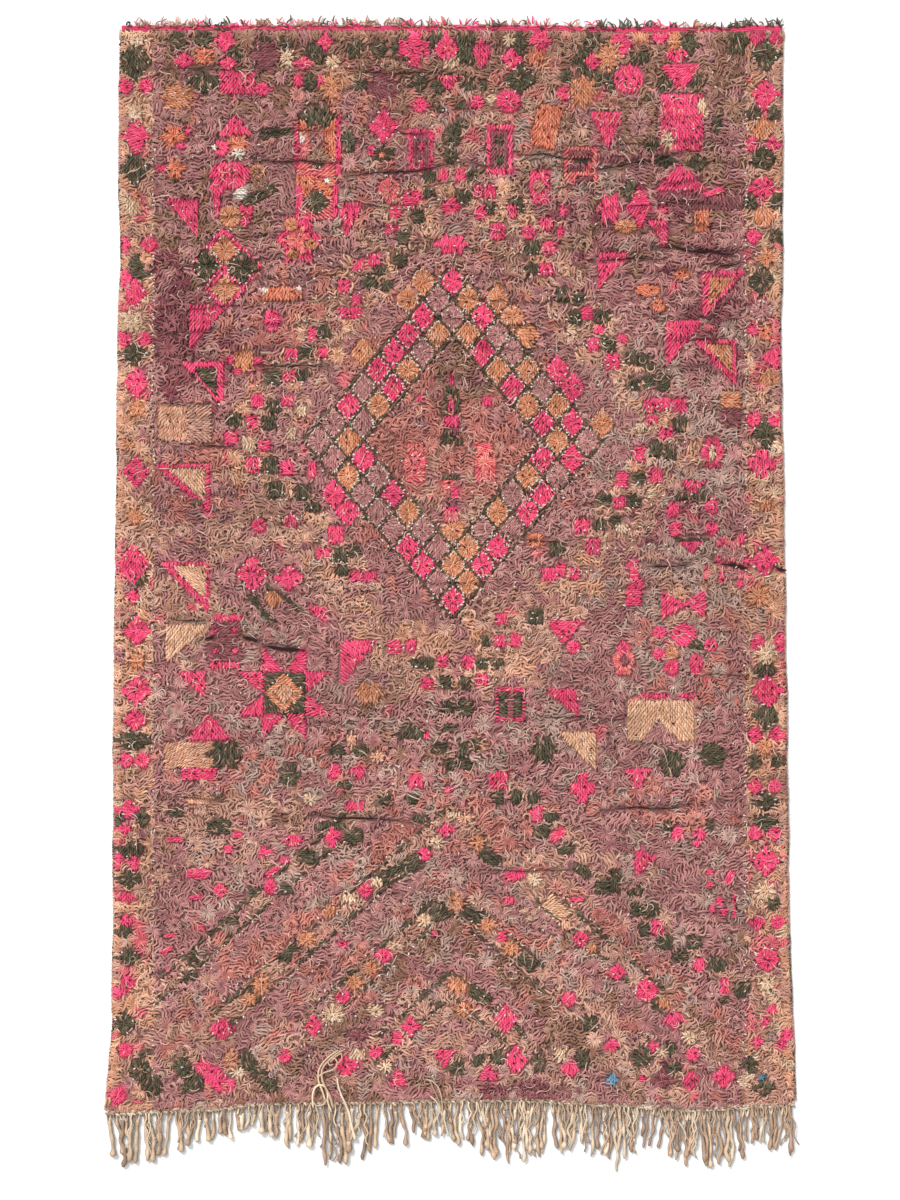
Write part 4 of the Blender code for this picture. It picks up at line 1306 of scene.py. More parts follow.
def locks(x, y, way, length, stations, bend, lift, sink, crimp=0.0, beat=0.0):
    """Paths of locks with their middles at x, y, bent sideways and crimped in step with others."""
    share = np.linspace(0, 1, stations)[None, :]
    heading = way[:, None] + bend[:, None] * (share - 0.5)
    beat = np.reshape(beat, (-1, 1)) + 2 * math.pi * length[:, None] / CRIMP_LENGTH * (share - 0.5)
    heading = heading + np.reshape(crimp, (-1, 1)) * np.sin(beat)
    step = length[:, None] / (stations - 1)
    path_x = np.cumsum(np.cos(heading) * step, axis=1)
    path_y = np.cumsum(np.sin(heading) * step, axis=1)
    path_x += x[:, None] - path_x.mean(axis=1, keepdims=True)
    path_y += y[:, None] - path_y.mean(axis=1, keepdims=True)
    path_x = np.clip(path_x, side_x(path_y, -1) - OVERHANG, side_x(path_y, 1) + OVERHANG)
    lowest, highest = foot_y(path_x) - FOOT_OVERHANG * OVERHANG, head_y(path_x) + HEAD_OVERHANG * OVERHANG
    path_y = np.clip(path_y, lowest, highest)
    crest = np.sin(math.pi * np.clip(share * 0.84 + 0.10, 0, 1))
    base = (slab_top(x, y) + rolls(x, y)[0])[:, None] - BASE_SINK
    tucked = (1 - share) ** 2 + 0.5 * share ** 3
    path_z = base - np.reshape(sink, (-1, 1)) * tucked + lift[:, None] * crest
    past = np.maximum(side_x(path_y, -1) - path_x, path_x - side_x(path_y, 1))
    past = np.maximum(past, np.maximum(foot_y(path_x) - path_y, path_y - head_y(path_x)))
    path_z = np.minimum(path_z - DROOP * np.clip(past + 0.002, 0, DROOP_REACH), PILE_TOP)
    return join_up(path_x, path_y, path_z)


# %% [markdown]
# A row of locks along each edge leans out over it. Then all knots are gathered:
# those of the ground, of the motifs and of the rim. Here and there one has worn
# away.

# %% Lay the rim and gather the knots
RIM_INSET = 0.006
WORN_SHARE = 0.022


def well_inside(x, y, rim):
    """True where a place is a rim's width or more inside the pile's edge."""
    return ((x > side_x(y, -1) + rim) & (x < side_x(y, 1) - rim)
            & (y < head_y(x) - rim) & (y > foot_y(x) + rim * 0.3))


def rim_row(x, y, way, inward):
    """Locks along an edge of the pile that lean out over it."""
    count = len(x)
    way = way + rng.normal(0, 0.45, count)
    inward = inward + rng.uniform(-0.002, 0.003, count)
    place_x, place_y = x - inward * np.cos(way), y - inward * np.sin(way)
    return np.column_stack((place_x, place_y, way, rng.normal(0, 0.6, count), np.zeros(count)))


edge_x = np.arange(corners[-1, -1][0] + 0.004, corners[-1, 1][0] - 0.004, 0.0047)
edge_y = np.arange(FOOT_Y + 0.030, HEAD_Y - 0.010, 0.0050)
foot_inset = 0.010 * (0.4 - soft_noise(edge_x, edge_x, 0.035, 77))
rim = np.concatenate((
    rim_row(edge_x, foot_y(edge_x), -math.pi / 2, foot_inset),
    rim_row(edge_x, head_y(edge_x), math.pi / 2, RIM_INSET),
    rim_row(side_x(edge_y, -1), edge_y, math.pi, RIM_INSET),
    rim_row(side_x(edge_y, 1), edge_y, 0.0, RIM_INSET),
))
rim_chart = work_pattern(rim[:, 0], rim[:, 1])
knots = np.concatenate((ground_places, motif_places, rim))
wool = np.concatenate((ground_wool, motif_wool, rim_chart.wool))
order = np.arange(len(knots))
is_rim = order >= len(knots) - len(rim)
is_motif = (order >= len(ground_places)) & ~is_rim
knots[:, :2] += rng.normal(0, 0.0006, (len(knots), 2))
worn = (rng.random(len(knots)) < WORN_SHARE) & ~is_motif
kept = (well_inside(knots[:, 0], knots[:, 1], 0.004) & ~worn) | is_rim
knots, wool, is_motif = knots[kept], wool[kept], is_motif[kept]
line_motifs = np.array([False] + [shape == "line" for *_, shape, _ in ground_chart.placed])
motif_of = np.where(is_motif, knots[:, 4], 0).astype(int)
knot_x, knot_y = knots[:, 0], knots[:, 1]
count = len(knots)
print(count, "knots kept of", len(kept))

# %% [markdown]
# Each lock gets a direction, a bend, a height and a length. Beside a crease the
# locks of the ground lie level. A lock that would cross the edge of its motif,
# or fall into a crease, is drawn back and cut shorter.

# %% Turn and trim the locks
MOTIF_LENGTH, GROUND_LENGTH = 0.0155, 0.0308
MOTIF_BACK, GROUND_BACK = 0.12, 0.18

is_line = is_motif & line_motifs[motif_of]
on_rim = is_rim[kept]
way = knots[:, 2] + rng.normal(0, 0.10, count)
bend = knots[:, 3] + rng.normal(0, 0.22, count)
lift = rng.uniform(0.0012, 0.0034, count) * np.where(is_motif, 0.6, 1.0) + 0.0014 * is_line
length = np.where(is_motif, MOTIF_LENGTH, GROUND_LENGTH) * rng.uniform(0.88, 1.14, count)
parted = creases(knot_x, knot_y)
level_way = math.pi * np.round(way / math.pi) + rng.normal(0, 0.12, count)
way = np.where((parted > 0.05) & ~is_motif, level_way, way)
for end in (-1, 1):
    tip_x = knot_x + end * length / 2 * np.cos(way)
    tip_y = knot_y + end * length / 2 * np.sin(way)
    strays = (work_pattern(tip_x, tip_y).motif != motif_of) & ~on_rim
    strays |= (creases(tip_x, tip_y) > 0.35) & (parted < 0.35)
    back = np.where(strays, np.where(is_motif, MOTIF_BACK, GROUND_BACK), 0.0) * length * end
    knot_x, knot_y = knot_x - back * np.cos(way), knot_y - back * np.sin(way)
    length = length - 1.7 * np.abs(back)
tuft_i, tuft_j = nearest_tuft(knot_x, knot_y)
own_luck = tuft_luck[tuft_i, tuft_j]
reach = (knot_x - tuft_x[tuft_i, tuft_j]) * np.cos(way) + (knot_y - tuft_y[tuft_i, tuft_j]) * np.sin(way)
beat = 2 * math.pi * (reach / CRIMP_LENGTH + own_luck[:, 1]) + rng.normal(0, 0.25, count)
crimp = np.where(is_motif, 0.15, 0.35 + 0.75 * own_luck[:, 0])
print("Locks are", round(1000 * length.min(), 1), "to", round(1000 * length.max(), 1), "mm long")

# %% [markdown]
# The colour of a lock is a tone of its wool, changed by its tuft, by a soft
# drift over the rug, by painted shadow below the step of the roll that it lies
# in, by a slope that is slightly darker towards the head and by its own luck.
# Its tip is paler than its root, partly faded and partly a painted highlight,
# and most of all on the ground.

# %% Colour the locks
tuft_tone = 0.96 + 0.20 * own_luck[:, 5]
drift = 0.86 + 0.28 * soft_noise(knot_x, knot_y, 0.16, 21)
roll_shadow = rolls(knot_x, knot_y)[1]
skein = np.where(rng.random(count) < 0.55, rng.integers(0, 3, count), (own_luck[:, 2] * 3).astype(int) % 3)
strand_wool = wool
for stray_from, stray_to, stray_share in (("olive", "taupe", 0.11), ("pink", "salmon", 0.06)):
    strayed = (wool == CODE[stray_from]) & (rng.random(count) < stray_share)
    strand_wool = np.where(strayed, CODE[stray_to], strand_wool)
tone = TONES[strand_wool, np.where(is_motif, rng.integers(0, 3, count), skein)]
# A slope of tone, slightly darker towards the head and lighter towards the foot.
darker_to_head = 1 - 0.025 * knot_y
tone = tone * (drift * tuft_tone * roll_shadow * darker_to_head * rng.uniform(0.86, 1.14, count))[:, None]


def of_wools(*names):
    """True for the locks in one of the named wools."""
    return np.isin(wool, [CODE[name] for name in names])


ground = of_wools("dust", "mauve", "aubergine", "rose", "taupe", "beige", "peach", "blush")
# Tips paler than roots: partly faded wool, partly a painted highlight.
fade_and_highlight = np.where(ground, 0.38, 0.08)[:, None] * rng.uniform(0.1, 1.4, (count, 1))
tip_tone = tone * (1 - fade_and_highlight) + PALE_TIP * fade_and_highlight
print(int(ground.sum()), "locks in the wools of the ground")

# %% [markdown]
# The locks are built as a few large pieces: the ground in four parts from head
# to foot, and the motifs by their wools. The widths, and a painted shade that
# is darkest at the root where the locks overlap, run from root to tip.

# %% Weave the pile
PILE_FLOOR = 0.0030
CREASE_DEPTH = 0.0060
# The last numbers of each lock darken it from the root towards the tip: painted shade.
GROUND_LOCK = (4, (0.90, 1.26, 1.24, 0.80), (0.74, 0.945, 0.985))
MOTIF_LOCK = (3, (0.88, 1.22, 0.82), (0.80, 1.0))


def weave_pile(name, chosen, stations, widths, root_painted_shade):
    """Build the chosen locks as one piece."""
    sink = np.where(is_motif[chosen], 0.5, 1.0) * ROOT_SINK
    paths = locks(knot_x[chosen], knot_y[chosen], way[chosen], length[chosen], stations, bend[chosen],
                  lift[chosen], sink, crimp[chosen], beat[chosen])
    swell = rng.uniform(0.86, 1.14, (len(paths), 1))
    colours = np.stack([tone[chosen] * shade for shade in root_painted_shade] + [tip_tone[chosen] * 0.9], axis=1)
    opened = creases(paths[:, :, 0], paths[:, :, 1])
    paths[:, :, 2] -= CREASE_DEPTH * opened
    # In a crease the locks are darkened as painted shade.
    colours = colours * (1 - 0.86 * opened)[..., None]
    paths[:, :, 2] = np.maximum(paths[:, :, 2], PILE_FLOOR)
    thickness = LOCK_WIDTH * np.array(widths)[None, :] * swell
    return make_yarns(name, paths, thickness, colours, ridge=True, painted_side_shade=0.32)


whole = ground & (parted < 0.50)
HEAD_PART, MIDDLE, FOOT_PART = 0.72, 0.0, -0.75
YARN_GROUPS = {
    "pile_ground_head": whole & (knot_y > HEAD_PART),
    "pile_ground_upper": whole & (knot_y <= HEAD_PART) & (knot_y > MIDDLE),
    "pile_ground_lower": whole & (knot_y <= MIDDLE) & (knot_y > FOOT_PART),
    "pile_ground_foot": whole & (knot_y <= FOOT_PART),
    "pile_pink": of_wools("pink", "salmon"),
    "pile_olive": of_wools("olive", "blue"),
    "pile_ochre": of_wools("ochre", "orange", "light"),
    "pile_cream": of_wools("cream", "ivory"),
}
pile = {}
for name, chosen in YARN_GROUPS.items():
    lock = GROUND_LOCK if name.startswith("pile_ground") else MOTIF_LOCK
    pile[name] = weave_pile(name, chosen, *lock)

# %% Lay dark strips in the creases as painted shadow
CREASE_STATIONS = 36
share = np.linspace(0, 1, CREASE_STATIONS)[None, :]
crease = np.array(CREASES)
root_x = (crease[:, :1] + (crease[:, 2:3] - crease[:, :1]) * share) * COUNT
root_down = crease[:, 1:2] + (crease[:, 3:4] - crease[:, 1:2]) * share
rough_y = HEAD_LINE - root_down * COUNT
root_y = HEAD_LINE - (root_down - crease_wander(root_x, rough_y)) * COUNT
deep = crease[:, 4:5] * np.sqrt(np.sin(math.pi * np.clip(share, 0.02, 0.98)))
root_z = slab_top(root_x, root_y) - 0.0012 + 0.0022 * deep
crease_width = 0.0098 * deep ** 1.9 * (0.6 + 0.8 * soft_noise(root_x, root_y, 0.012, 58))
# A near-black strip along the bottom of each crease stands in for the shadow there: painted shadow.
crease_shadow_tone = np.array(linear("#2C1A1B")) * np.ones((len(crease), CREASE_STATIONS, 1))
crease_shadow_strips = make_yarns("pile_crease_shadow_strips", join_up(root_x, root_y, root_z), crease_width, crease_shadow_tone,
                          ridge=True, flat=0.35)

# %% [markdown]
# Over the locks lie thin pale ends, worn loose from their knots. They are
# partly bleached wool and partly a painted highlight: the pale squiggles that
# the eye finds all over the ground.

# %% Scatter the loose pale ends
CURLS = 2900
CURL_STATIONS = 5
curl_x = rng.uniform(-0.90, 0.90, CURLS)
curl_y = rng.uniform(FOOT_Y + 0.02, HEAD_Y - 0.02, CURLS)
lonely = soft_noise(curl_x, curl_y, 0.09, 33) + rng.uniform(-0.25, 0.25, CURLS)
fits = (curl_x > side_x(curl_y, -1) + 0.01) & (curl_x < side_x(curl_y, 1) - 0.01)
fits &= (curl_y < head_y(curl_x) - 0.01) & (curl_y > foot_y(curl_x) + 0.01) & (lonely > 0.36)
curl_x, curl_y = curl_x[fits], curl_y[fits]
count = len(curl_x)
curl_paths = locks(curl_x, curl_y, rng.uniform(0, 2 * math.pi, count), rng.uniform(0.020, 0.042, count),
                   CURL_STATIONS, rng.normal(0, 2.6, count), rng.uniform(0.003, 0.006, count), 0.001)
curl_thickness = tapered(0.0026, (0.8, 1.0, 1.0, 0.9, 0.6), 0.8, 1.2, count)
curl_wool = work_pattern(curl_x, curl_y).wool
curl_mix = rng.uniform(0.5, 1.0, (count, 1))
# Each end is mixed towards a pale cream, partly bleaching and partly a painted highlight.
curl_tone = TONES[curl_wool, 1] * (1 - curl_mix) + np.array(linear("#E0BFAC")) * curl_mix
curl_tone = curl_tone * rng.uniform(0.8, 1.1, (count, 1))
curl_colours = np.repeat(curl_tone[:, None, :], CURL_STATIONS, axis=1)
loose_ends_and_highlights = make_yarns("pile_loose_ends_and_highlights", curl_paths, curl_thickness, curl_colours, flat=1.0, ridge=True)

# %% [markdown]
# White cotton knots show between the wool. They stand in rows along the inside
# of both borders, on both sides of each line of the lozenge and round the
# larger diamonds, and here and there elsewhere. Each is a dash as long as a
# lentil. In the same way small dark dashes are laid on the pile as painted
# shade of the hollows between the yarns.

# %% Set the white knots
def dots_along(start, end, pitch):
    """Places in counts along a line."""
    start, end = np.array(start, float), np.array(end, float)
    number = max(1, int(np.linalg.norm(end - start) / pitch))
    return start + (end - start) * (np.arange(number)[:, None] + 0.5) / number


def beside(start, end, off, pitch):
    """Places along both sides of a line."""
    along = np.array(end, float) - np.array(start, float)
    aside = off * np.array([-along[1], along[0]]) / np.linalg.norm(along)
    return [dots_along(start + aside, end + aside, pitch), dots_along(start - aside, end - aside, pitch)]


BORDER_DOTS, LOZENGE_DOTS, CHEVRON_DOTS, BAND_DOTS, DIAMOND_DOTS, SINGLE_DOTS = 5, 7.6, 9, 7, 8, 900
LARGE_DIAMOND = 24
DOT_SHARE = 0.56
TIPS = ((0, -1), (1, 0), (0, 1), (-1, 0), (0, -1))

dot_places = [dots_along((x, 40), (x, 1050), BORDER_DOTS) for x in (BORDER_LEFT, BORDER_RIGHT)]
for start, end in lozenge_lines():
    dot_places += beside(start, end, 2.9, LOZENGE_DOTS)
for side, down, wide, first, last in CHEVRONS:
    for level in (down - 4, down + wide + 4):
        start, end = [(side * x, level + CHEVRON_SLOPE * x) for x in (first, last)]
        dot_places.append(dots_along(start, end, CHEVRON_DOTS))
for across, down, step_across, step_down, steps in BAND_STEPS:
    for step in range(steps):
        x, y = across + step * step_across, down + step * step_down
        dot_places += [dots_along((x - 26, y + row), (x + 26, y + row), BAND_DOTS) for row in (-9, 9)]
for across, down, wide, high, shape, turned in ground_chart.placed:
    if shape == "diamond" and wide >= LARGE_DIAMOND:
        tips = [(across + wide * a / 2, down + high * b / 2) for a, b in TIPS]
        dot_places += [dots_along(start, end, DIAMOND_DOTS) for start, end in zip(tips, tips[1:])]
dot_places.append(np.column_stack((rng.uniform(-285, 285, SINGLE_DOTS), rng.uniform(30, 1050, SINGLE_DOTS))))
dots = np.concatenate(dot_places)
dots = dots[rng.random(len(dots)) < DOT_SHARE]
dots = dots + rng.normal(0, 0.9, dots.shape)
dots = dots[(dots[:, 1] < 1052) & (dots[:, 1] > 8)]


def lay_dashes(name, places, wool_tone, size, height):
    """Short blunt dashes of one yarn, lying on the pile at places in counts."""
    dash_x, dash_y = places[:, 0] * COUNT, HEAD_LINE - places[:, 1] * COUNT
    count = len(dash_x)
    dash_paths = locks(dash_x, dash_y, rng.uniform(0, 6.28, count), size * rng.uniform(0.9, 1.9, count), 3,
                       rng.normal(0, 1, count), height * rng.uniform(0.85, 1.1, count), 0.001)
    widths = tapered(size, (0.62, 0.95, 0.55), 0.8, 1.15, count)
    colours = wool_tone[rng.integers(0, len(wool_tone), count)][:, None, :] + np.zeros((1, 3, 1))
    return make_yarns(name, dash_paths, widths, colours, ridge=True)


white_knots = lay_dashes("pile_white_knots", dots, TONES[CODE["ivory"]] * 0.90, 0.0048, 0.0060)

# %% Lay dark dashes as painted shade in the hollows
HOLLOW_PITCH = 8.0
grid = np.meshgrid(np.arange(-330, 330, HOLLOW_PITCH), np.arange(12, 1060, HOLLOW_PITCH))
hollows = np.column_stack([counts.ravel() for counts in grid])
hollows = hollows + rng.uniform(-0.4, 0.4, hollows.shape) * HOLLOW_PITCH
hollow_wool = work_pattern(hollows[:, 0] * COUNT, HEAD_LINE - hollows[:, 1] * COUNT).wool
crowd = soft_noise(hollows[:, 0] * COUNT, hollows[:, 1] * COUNT, 0.11, 64)
bright = np.isin(hollow_wool, [CODE["pink"], CODE["orange"]])
chance = np.where(bright, 0.55, 0.75 * np.clip(crowd - 0.25, 0, 1))
hollows = hollows[rng.random(len(hollows)) < chance]
# Near-black dashes stand in for the shade in the hollows between the yarns: painted shade.
hollow_shade_tones = np.array([linear("#3A2022"), linear("#2E1C1A"), linear("#4A2A2C")])
hollow_shade_dashes = lay_dashes("pile_hollow_shade_dashes", hollows, hollow_shade_tones, 0.0052, 0.0062)

# %% [markdown]
# ## The overcast sides
# Each side is finished by winding wool round the outer warps, stitch beside
# stitch. A stitch is an arc over the edge that leans a little forward.

# %% Wind the side cords
SELVEDGE_WIDTH = 0.0080
SIDE_GAP = 0.0002
STITCH_PITCH = 0.0062
STITCH_PROFILE = (0.6, 0.95, 1.05, 0.95, 0.6)

side_cords = {}
for side, name in ((-1, "selvedge_left_stitches"), (1, "selvedge_right_stitches")):
    low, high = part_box("selvedge_left" if side < 0 else "selvedge_right")
    middle_y = np.arange(low[1] + 0.004, high[1] - 0.004, STITCH_PITCH)
    count = len(middle_y)
    middle_y = middle_y + rng.normal(0, 0.0006, count)
    share = np.linspace(-1, 1, len(STITCH_PROFILE))[None, :]
    wander = rng.normal(0, 0.0005, (count, 1))
    path_x = side_x(middle_y, side)[:, None] + side * (SIDE_GAP + SELVEDGE_WIDTH / 2)
    path_x = path_x + share * 0.0032 + wander
    path_y = middle_y[:, None] + share * 0.0035
    path_z = 0.0022 + 0.0042 * (1 - share ** 2) + rng.uniform(-0.0004, 0.0008, (count, 1))
    stitch_thickness = tapered(0.0060, STITCH_PROFILE, 0.88, 1.12, count)
    patch = soft_noise(middle_y + 3, middle_y * 0 + side, 0.07, 61) + rng.uniform(-0.2, 0.2, count)
    stitch_wool = np.where(patch > 0.62, CODE["olive"], np.where(patch > 0.48, CODE["taupe"], CODE["beige"]))
    stitch_tone = TONES[stitch_wool, rng.integers(0, 3, count)] * rng.uniform(0.8, 1.15, (count, 1))
    stitch_colours = np.repeat(stitch_tone[:, None, :], len(STITCH_PROFILE), axis=1)
    side_cords[side] = make_yarns(name, join_up(path_x, path_y, path_z), stitch_thickness, stitch_colours,
                                  sides=4, flat=0.7)

# %% [markdown]
# ## The head
# The head ends in a narrow flat-woven band of pink weft, which reads as four
# ribs. The warp ends were cut short there and curl up over the band's edge.

# %% Weave the head band
BAND_WIDTH = 0.020
RIBS = 4
RIB_STATIONS = 180

rib_share = np.linspace(0, 1, RIB_STATIONS)[None, :]
band_low, band_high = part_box("head_band")
rib_x = band_low[0] + 0.004 + (band_high[0] - band_low[0] - 0.008) * rib_share + np.zeros((RIBS, 1))
rib_place = (np.arange(RIBS)[:, None] + 0.5) / RIBS
rib_y = head_y(rib_x) + 0.0006 + BAND_WIDTH * rib_place
rib_y = rib_y + 0.0014 * np.sin(rib_x * 47 + 1.3 * rib_place)
rib_y = rib_y + 0.0008 * (soft_noise(rib_x, rib_place * 9, 0.012, 3) - 0.5)
rib_z = 0.0031 + 0.0012 * soft_noise(rib_x, rib_place * 7 + rib_x, 0.02, 8)
rib_thickness = 0.0058 * (0.9 + 0.25 * soft_noise(rib_x, rib_place * 5, 0.007, 14))
rib_tone = np.array(linear("#D6486C")) * (0.70 + 0.5 * soft_noise(rib_x, rib_place * 3, 0.03, 15))[..., None]
rib_tone[0] = np.array(linear("#8A5A4E")) * (0.8 + 0.4 * soft_noise(rib_x[0], rib_x[0], 0.03, 16))[:, None]
head_band = make_yarns("head_band_ribs", join_up(rib_x, rib_y, rib_z), rib_thickness, rib_tone,
                       sides=6, flat=0.85)

# %% Curl the cut ends over the head
HEAD_ENDS = 420
DARK_CORNER, DARK_REACH, DARK_START = 0.79, 0.10, -0.86
end_x = np.sort(rng.uniform(band_low[0] + 0.008, band_high[0] - 0.008, HEAD_ENDS))
count = len(end_x)
end_way = math.pi / 2 + rng.normal(0, 0.75, count)
end_length = rng.uniform(0.012, 0.026, count)
share = np.linspace(0, 1, 4)[None, :]
heading = end_way[:, None] + rng.normal(0, 1.1, (count, 1)) * share
step = end_length[:, None] / 3
path_x = end_x[:, None] + np.cumsum(np.cos(heading) * step, axis=1) - np.cos(heading[:, :1]) * step
end_start = head_y(end_x) + rng.uniform(0.010, 0.018, count)
path_y = end_start[:, None] + np.cumsum(np.sin(heading) * step, axis=1)
path_x = np.clip(path_x, band_low[0], band_high[0])
path_y = np.minimum(path_y, band_high[1] + 0.006)
path_z = 0.0055 + 0.004 * np.sin(math.pi * share) + rng.uniform(0, 0.002, (count, 1)) - 0.002 * share
end_thickness = tapered(0.0046, (0.9, 1.0, 1.0, 0.7), 0.7, 1.2, count)
pick = soft_noise(end_x, end_x * 0, 0.03, 71) + rng.uniform(-0.22, 0.22, count)
dark_part = (np.abs(end_x - DARK_CORNER) < DARK_REACH) | (end_x < DARK_START)
end_wool = np.where(pick > 0.70, CODE["olive"], np.where(pick > 0.52, CODE["pink"], CODE["taupe"]))
end_wool = np.where((end_wool == CODE["taupe"]) & (rng.random(count) < 0.5), CODE["beige"], end_wool)
end_wool = np.where(dark_part, CODE["olive"], end_wool)
end_tone = TONES[end_wool, rng.integers(0, 3, count)] * rng.uniform(0.75, 1.15, (count, 1))
# Each end is darkened at its root, where it leaves the band, as painted shade, and is a little lighter at its
# tip.
end_colours = np.stack((end_tone * 0.7, end_tone, end_tone, end_tone * 1.1), axis=1)
head_ends = make_yarns("head_cut_ends", join_up(path_x, path_y, path_z), end_thickness, end_colours,
                       sides=5, flat=0.9)

# %% [markdown]
# ## The foot
# At the foot the warps are plaited into a ridge, and below it they hang free as
# fringe. The fringe has matted into twisted, wavy cords of very different
# lengths, some knotted at the end, which lean together in clumps.

# %% Plait the ridge
PLAIT_PITCH = 0.0078
fringe_low, fringe_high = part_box("foot_fringe")
plait_x = np.arange(fringe_low[0] + 0.010, fringe_high[0] - 0.010, PLAIT_PITCH)
plait_x = np.repeat(plait_x, 2) + rng.normal(0, 0.0022, 2 * len(plait_x))
row = np.tile([0, 1], len(plait_x) // 2)
count = len(plait_x)
share = np.linspace(-1, 1, 4)[None, :]
lean = np.where(row == 0, 1, -1)[:, None] * rng.uniform(0.5, 2.2, (count, 1))
path_x = plait_x[:, None] + share * 0.0066
path_x = np.clip(path_x, fringe_low[0] + 0.003, fringe_high[0] - 0.003)
path_y = foot_y(path_x) - 0.0050 - row[:, None] * 0.0075 + lean * share * 0.0034
path_y = path_y + rng.normal(0, 0.0010, (count, 1))
path_z = 0.0036 + 0.0030 * (1 - share ** 2) + rng.uniform(-0.0005, 0.0014, (count, 1))
plait_thickness = tapered(0.0070, (0.7, 1.05, 1.05, 0.6), 0.75, 1.2, count)
plait_tone = np.array([linear("#C4AB95"), linear("#AD907C"), linear("#D6C2AC")])[rng.integers(0, 3, count)]
plait_tone = plait_tone * rng.uniform(0.7, 1.05, (count, 1))
# Both ends of each plaited stitch, where it passes under its neighbours, are darkened as painted shade.
plait_colours = np.stack([plait_tone * k for k in (0.50, 1.0, 1.0, 0.55)], axis=1)
foot_braid = make_yarns("foot_plait", join_up(path_x, path_y, path_z), plait_thickness, plait_colours,
                        sides=6, flat=0.85)

# %% [markdown]
# The warps leave the plait apart and meet after a finger's width, which leaves
# a row of small arches. Below them each pair is one thick matted cord.

# %% Hang the fringe
FRINGE_LENGTHS = (
    (-0.94, 0.128), (-0.89, 0.160), (-0.77, 0.172), (-0.72, 0.118), (-0.58, 0.092),
    (-0.50, 0.084), (-0.40, 0.148), (-0.29, 0.184), (-0.18, 0.132), (0.00, 0.124),
    (0.16, 0.184), (0.24, 0.168), (0.32, 0.120), (0.43, 0.192), (0.51, 0.122),
    (0.65, 0.145), (0.72, 0.204), (0.81, 0.124), (0.90, 0.180), (0.95, 0.126),
)
LEFT_PITCH, RIGHT_PITCH = 0.0165, 0.0128
LEFT_THICKNESS, RIGHT_THICKNESS = 0.0108, 0.0088
LEFT_END, RIGHT_START = 0.02, 0.03
FRINGE_STATIONS = 18
KNOTTED_SHARE = 0.55
FRINGE_ASIDE = 0.010
COTTON = np.array([linear("#DABD9F"), linear("#CCAA8E"), linear("#E8D1B6"), linear("#B0917A")])


def cotton_tone(number, lumpy):
    """A cotton colour for each cord, with painted shade in its thin dips."""
    shade = rng.uniform(0.80, 1.06, (number, 1, 1)) * (0.64 + 0.54 * lumpy[..., None])
    return COTTON[rng.integers(0, 4, number)][:, None, :] * shade


cord_x = np.concatenate((np.arange(fringe_low[0] + 0.012, LEFT_END, LEFT_PITCH),
                         np.arange(RIGHT_START, fringe_high[0] - 0.010, RIGHT_PITCH)))
cords = len(cord_x)
cord_x = cord_x + rng.normal(0, 0.0020, cords)
clump = np.cumsum(rng.random(cords) < 0.50)
clump_luck = np.random.default_rng(7).random((clump.max() + 1, 4))[clump]
clump_middle = np.array([cord_x[clump == c].mean() for c in range(clump.max() + 1)])[clump]
full = np.interp(cord_x, *np.array(FRINGE_LENGTHS).T)
cord_length = full * (0.80 + 0.20 * clump_luck[:, 0] + rng.uniform(-0.20, 0.04, cords))
join = rng.uniform(0.014, 0.026, cords)
share = np.linspace(0, 1, FRINGE_STATIONS)[None, :]
down = join[:, None] + (cord_length - join)[:, None] * share
wave = 0.075 + 0.070 * rng.random((cords, 1))
phase = 2 * math.pi * clump_luck[:, 2:3] + rng.normal(0, 0.9, (cords, 1))
sway = 0.0040 * rng.uniform(0.3, 1.4, (cords, 1)) * np.clip(down / 0.05, 0, 1)
gather = np.clip((down - 0.02) / 0.07, 0, 1) * rng.uniform(0.10, 0.60, (cords, 1))
path_x = cord_x[:, None] + (clump_middle - cord_x)[:, None] * gather
ripple = 0.25 * np.sin(2 * math.pi * down / 0.036 + 2 * phase)
path_x = path_x + sway * (np.sin(2 * math.pi * down / wave + phase) + ripple)
path_x = path_x + (clump_luck[:, 3:4] - 0.5) * 0.22 * down + rng.normal(0, 0.05, (cords, 1)) * down
path_x = np.clip(path_x, fringe_low[0] - FRINGE_ASIDE, fringe_high[0] + FRINGE_ASIDE)
start_y = foot_y(np.clip(cord_x, -0.92, 0.92))[:, None] - 0.012
path_y = start_y - down
lumpy = soft_noise(cord_x[:, None] * 7 + down, down + cord_x[:, None] * 31, 0.020, 81)
thick = np.where(cord_x < LEFT_END, LEFT_THICKNESS, RIGHT_THICKNESS)[:, None]
cord_thickness = thick * rng.uniform(0.74, 1.16, (cords, 1)) * (0.70 + 0.50 * lumpy)
knotted = rng.random((cords, 1)) < KNOTTED_SHARE
cord_thickness = cord_thickness * (1 + 0.55 * knotted * np.exp(-((share - 0.90) / 0.07) ** 2))
cord_thickness[:, -1] *= 0.5
path_z = 0.0045 + rng.uniform(0, 0.0050, (cords, 1)) * np.clip(down / 0.03, 0, 1)
path_z = path_z + 0.0014 * np.sin(2 * math.pi * down / 0.062 + 3 * phase) * np.clip(down / 0.02, 0, 1)
cord_paths = join_up(path_x, path_y, np.maximum(path_z, cord_thickness * 0.56))
foot_cords = make_yarns("foot_fringe_cords", cord_paths, cord_thickness, cotton_tone(cords, lumpy),
                        sides=8, flat=0.90, lobes=0.13, twist=70.0, painted_side_shade=0.62)

# %% Join the warps above the cords
ROOT_PROFILE = np.array([0.9, 0.9, 1.0, 1.1, 1.3, 1.2])
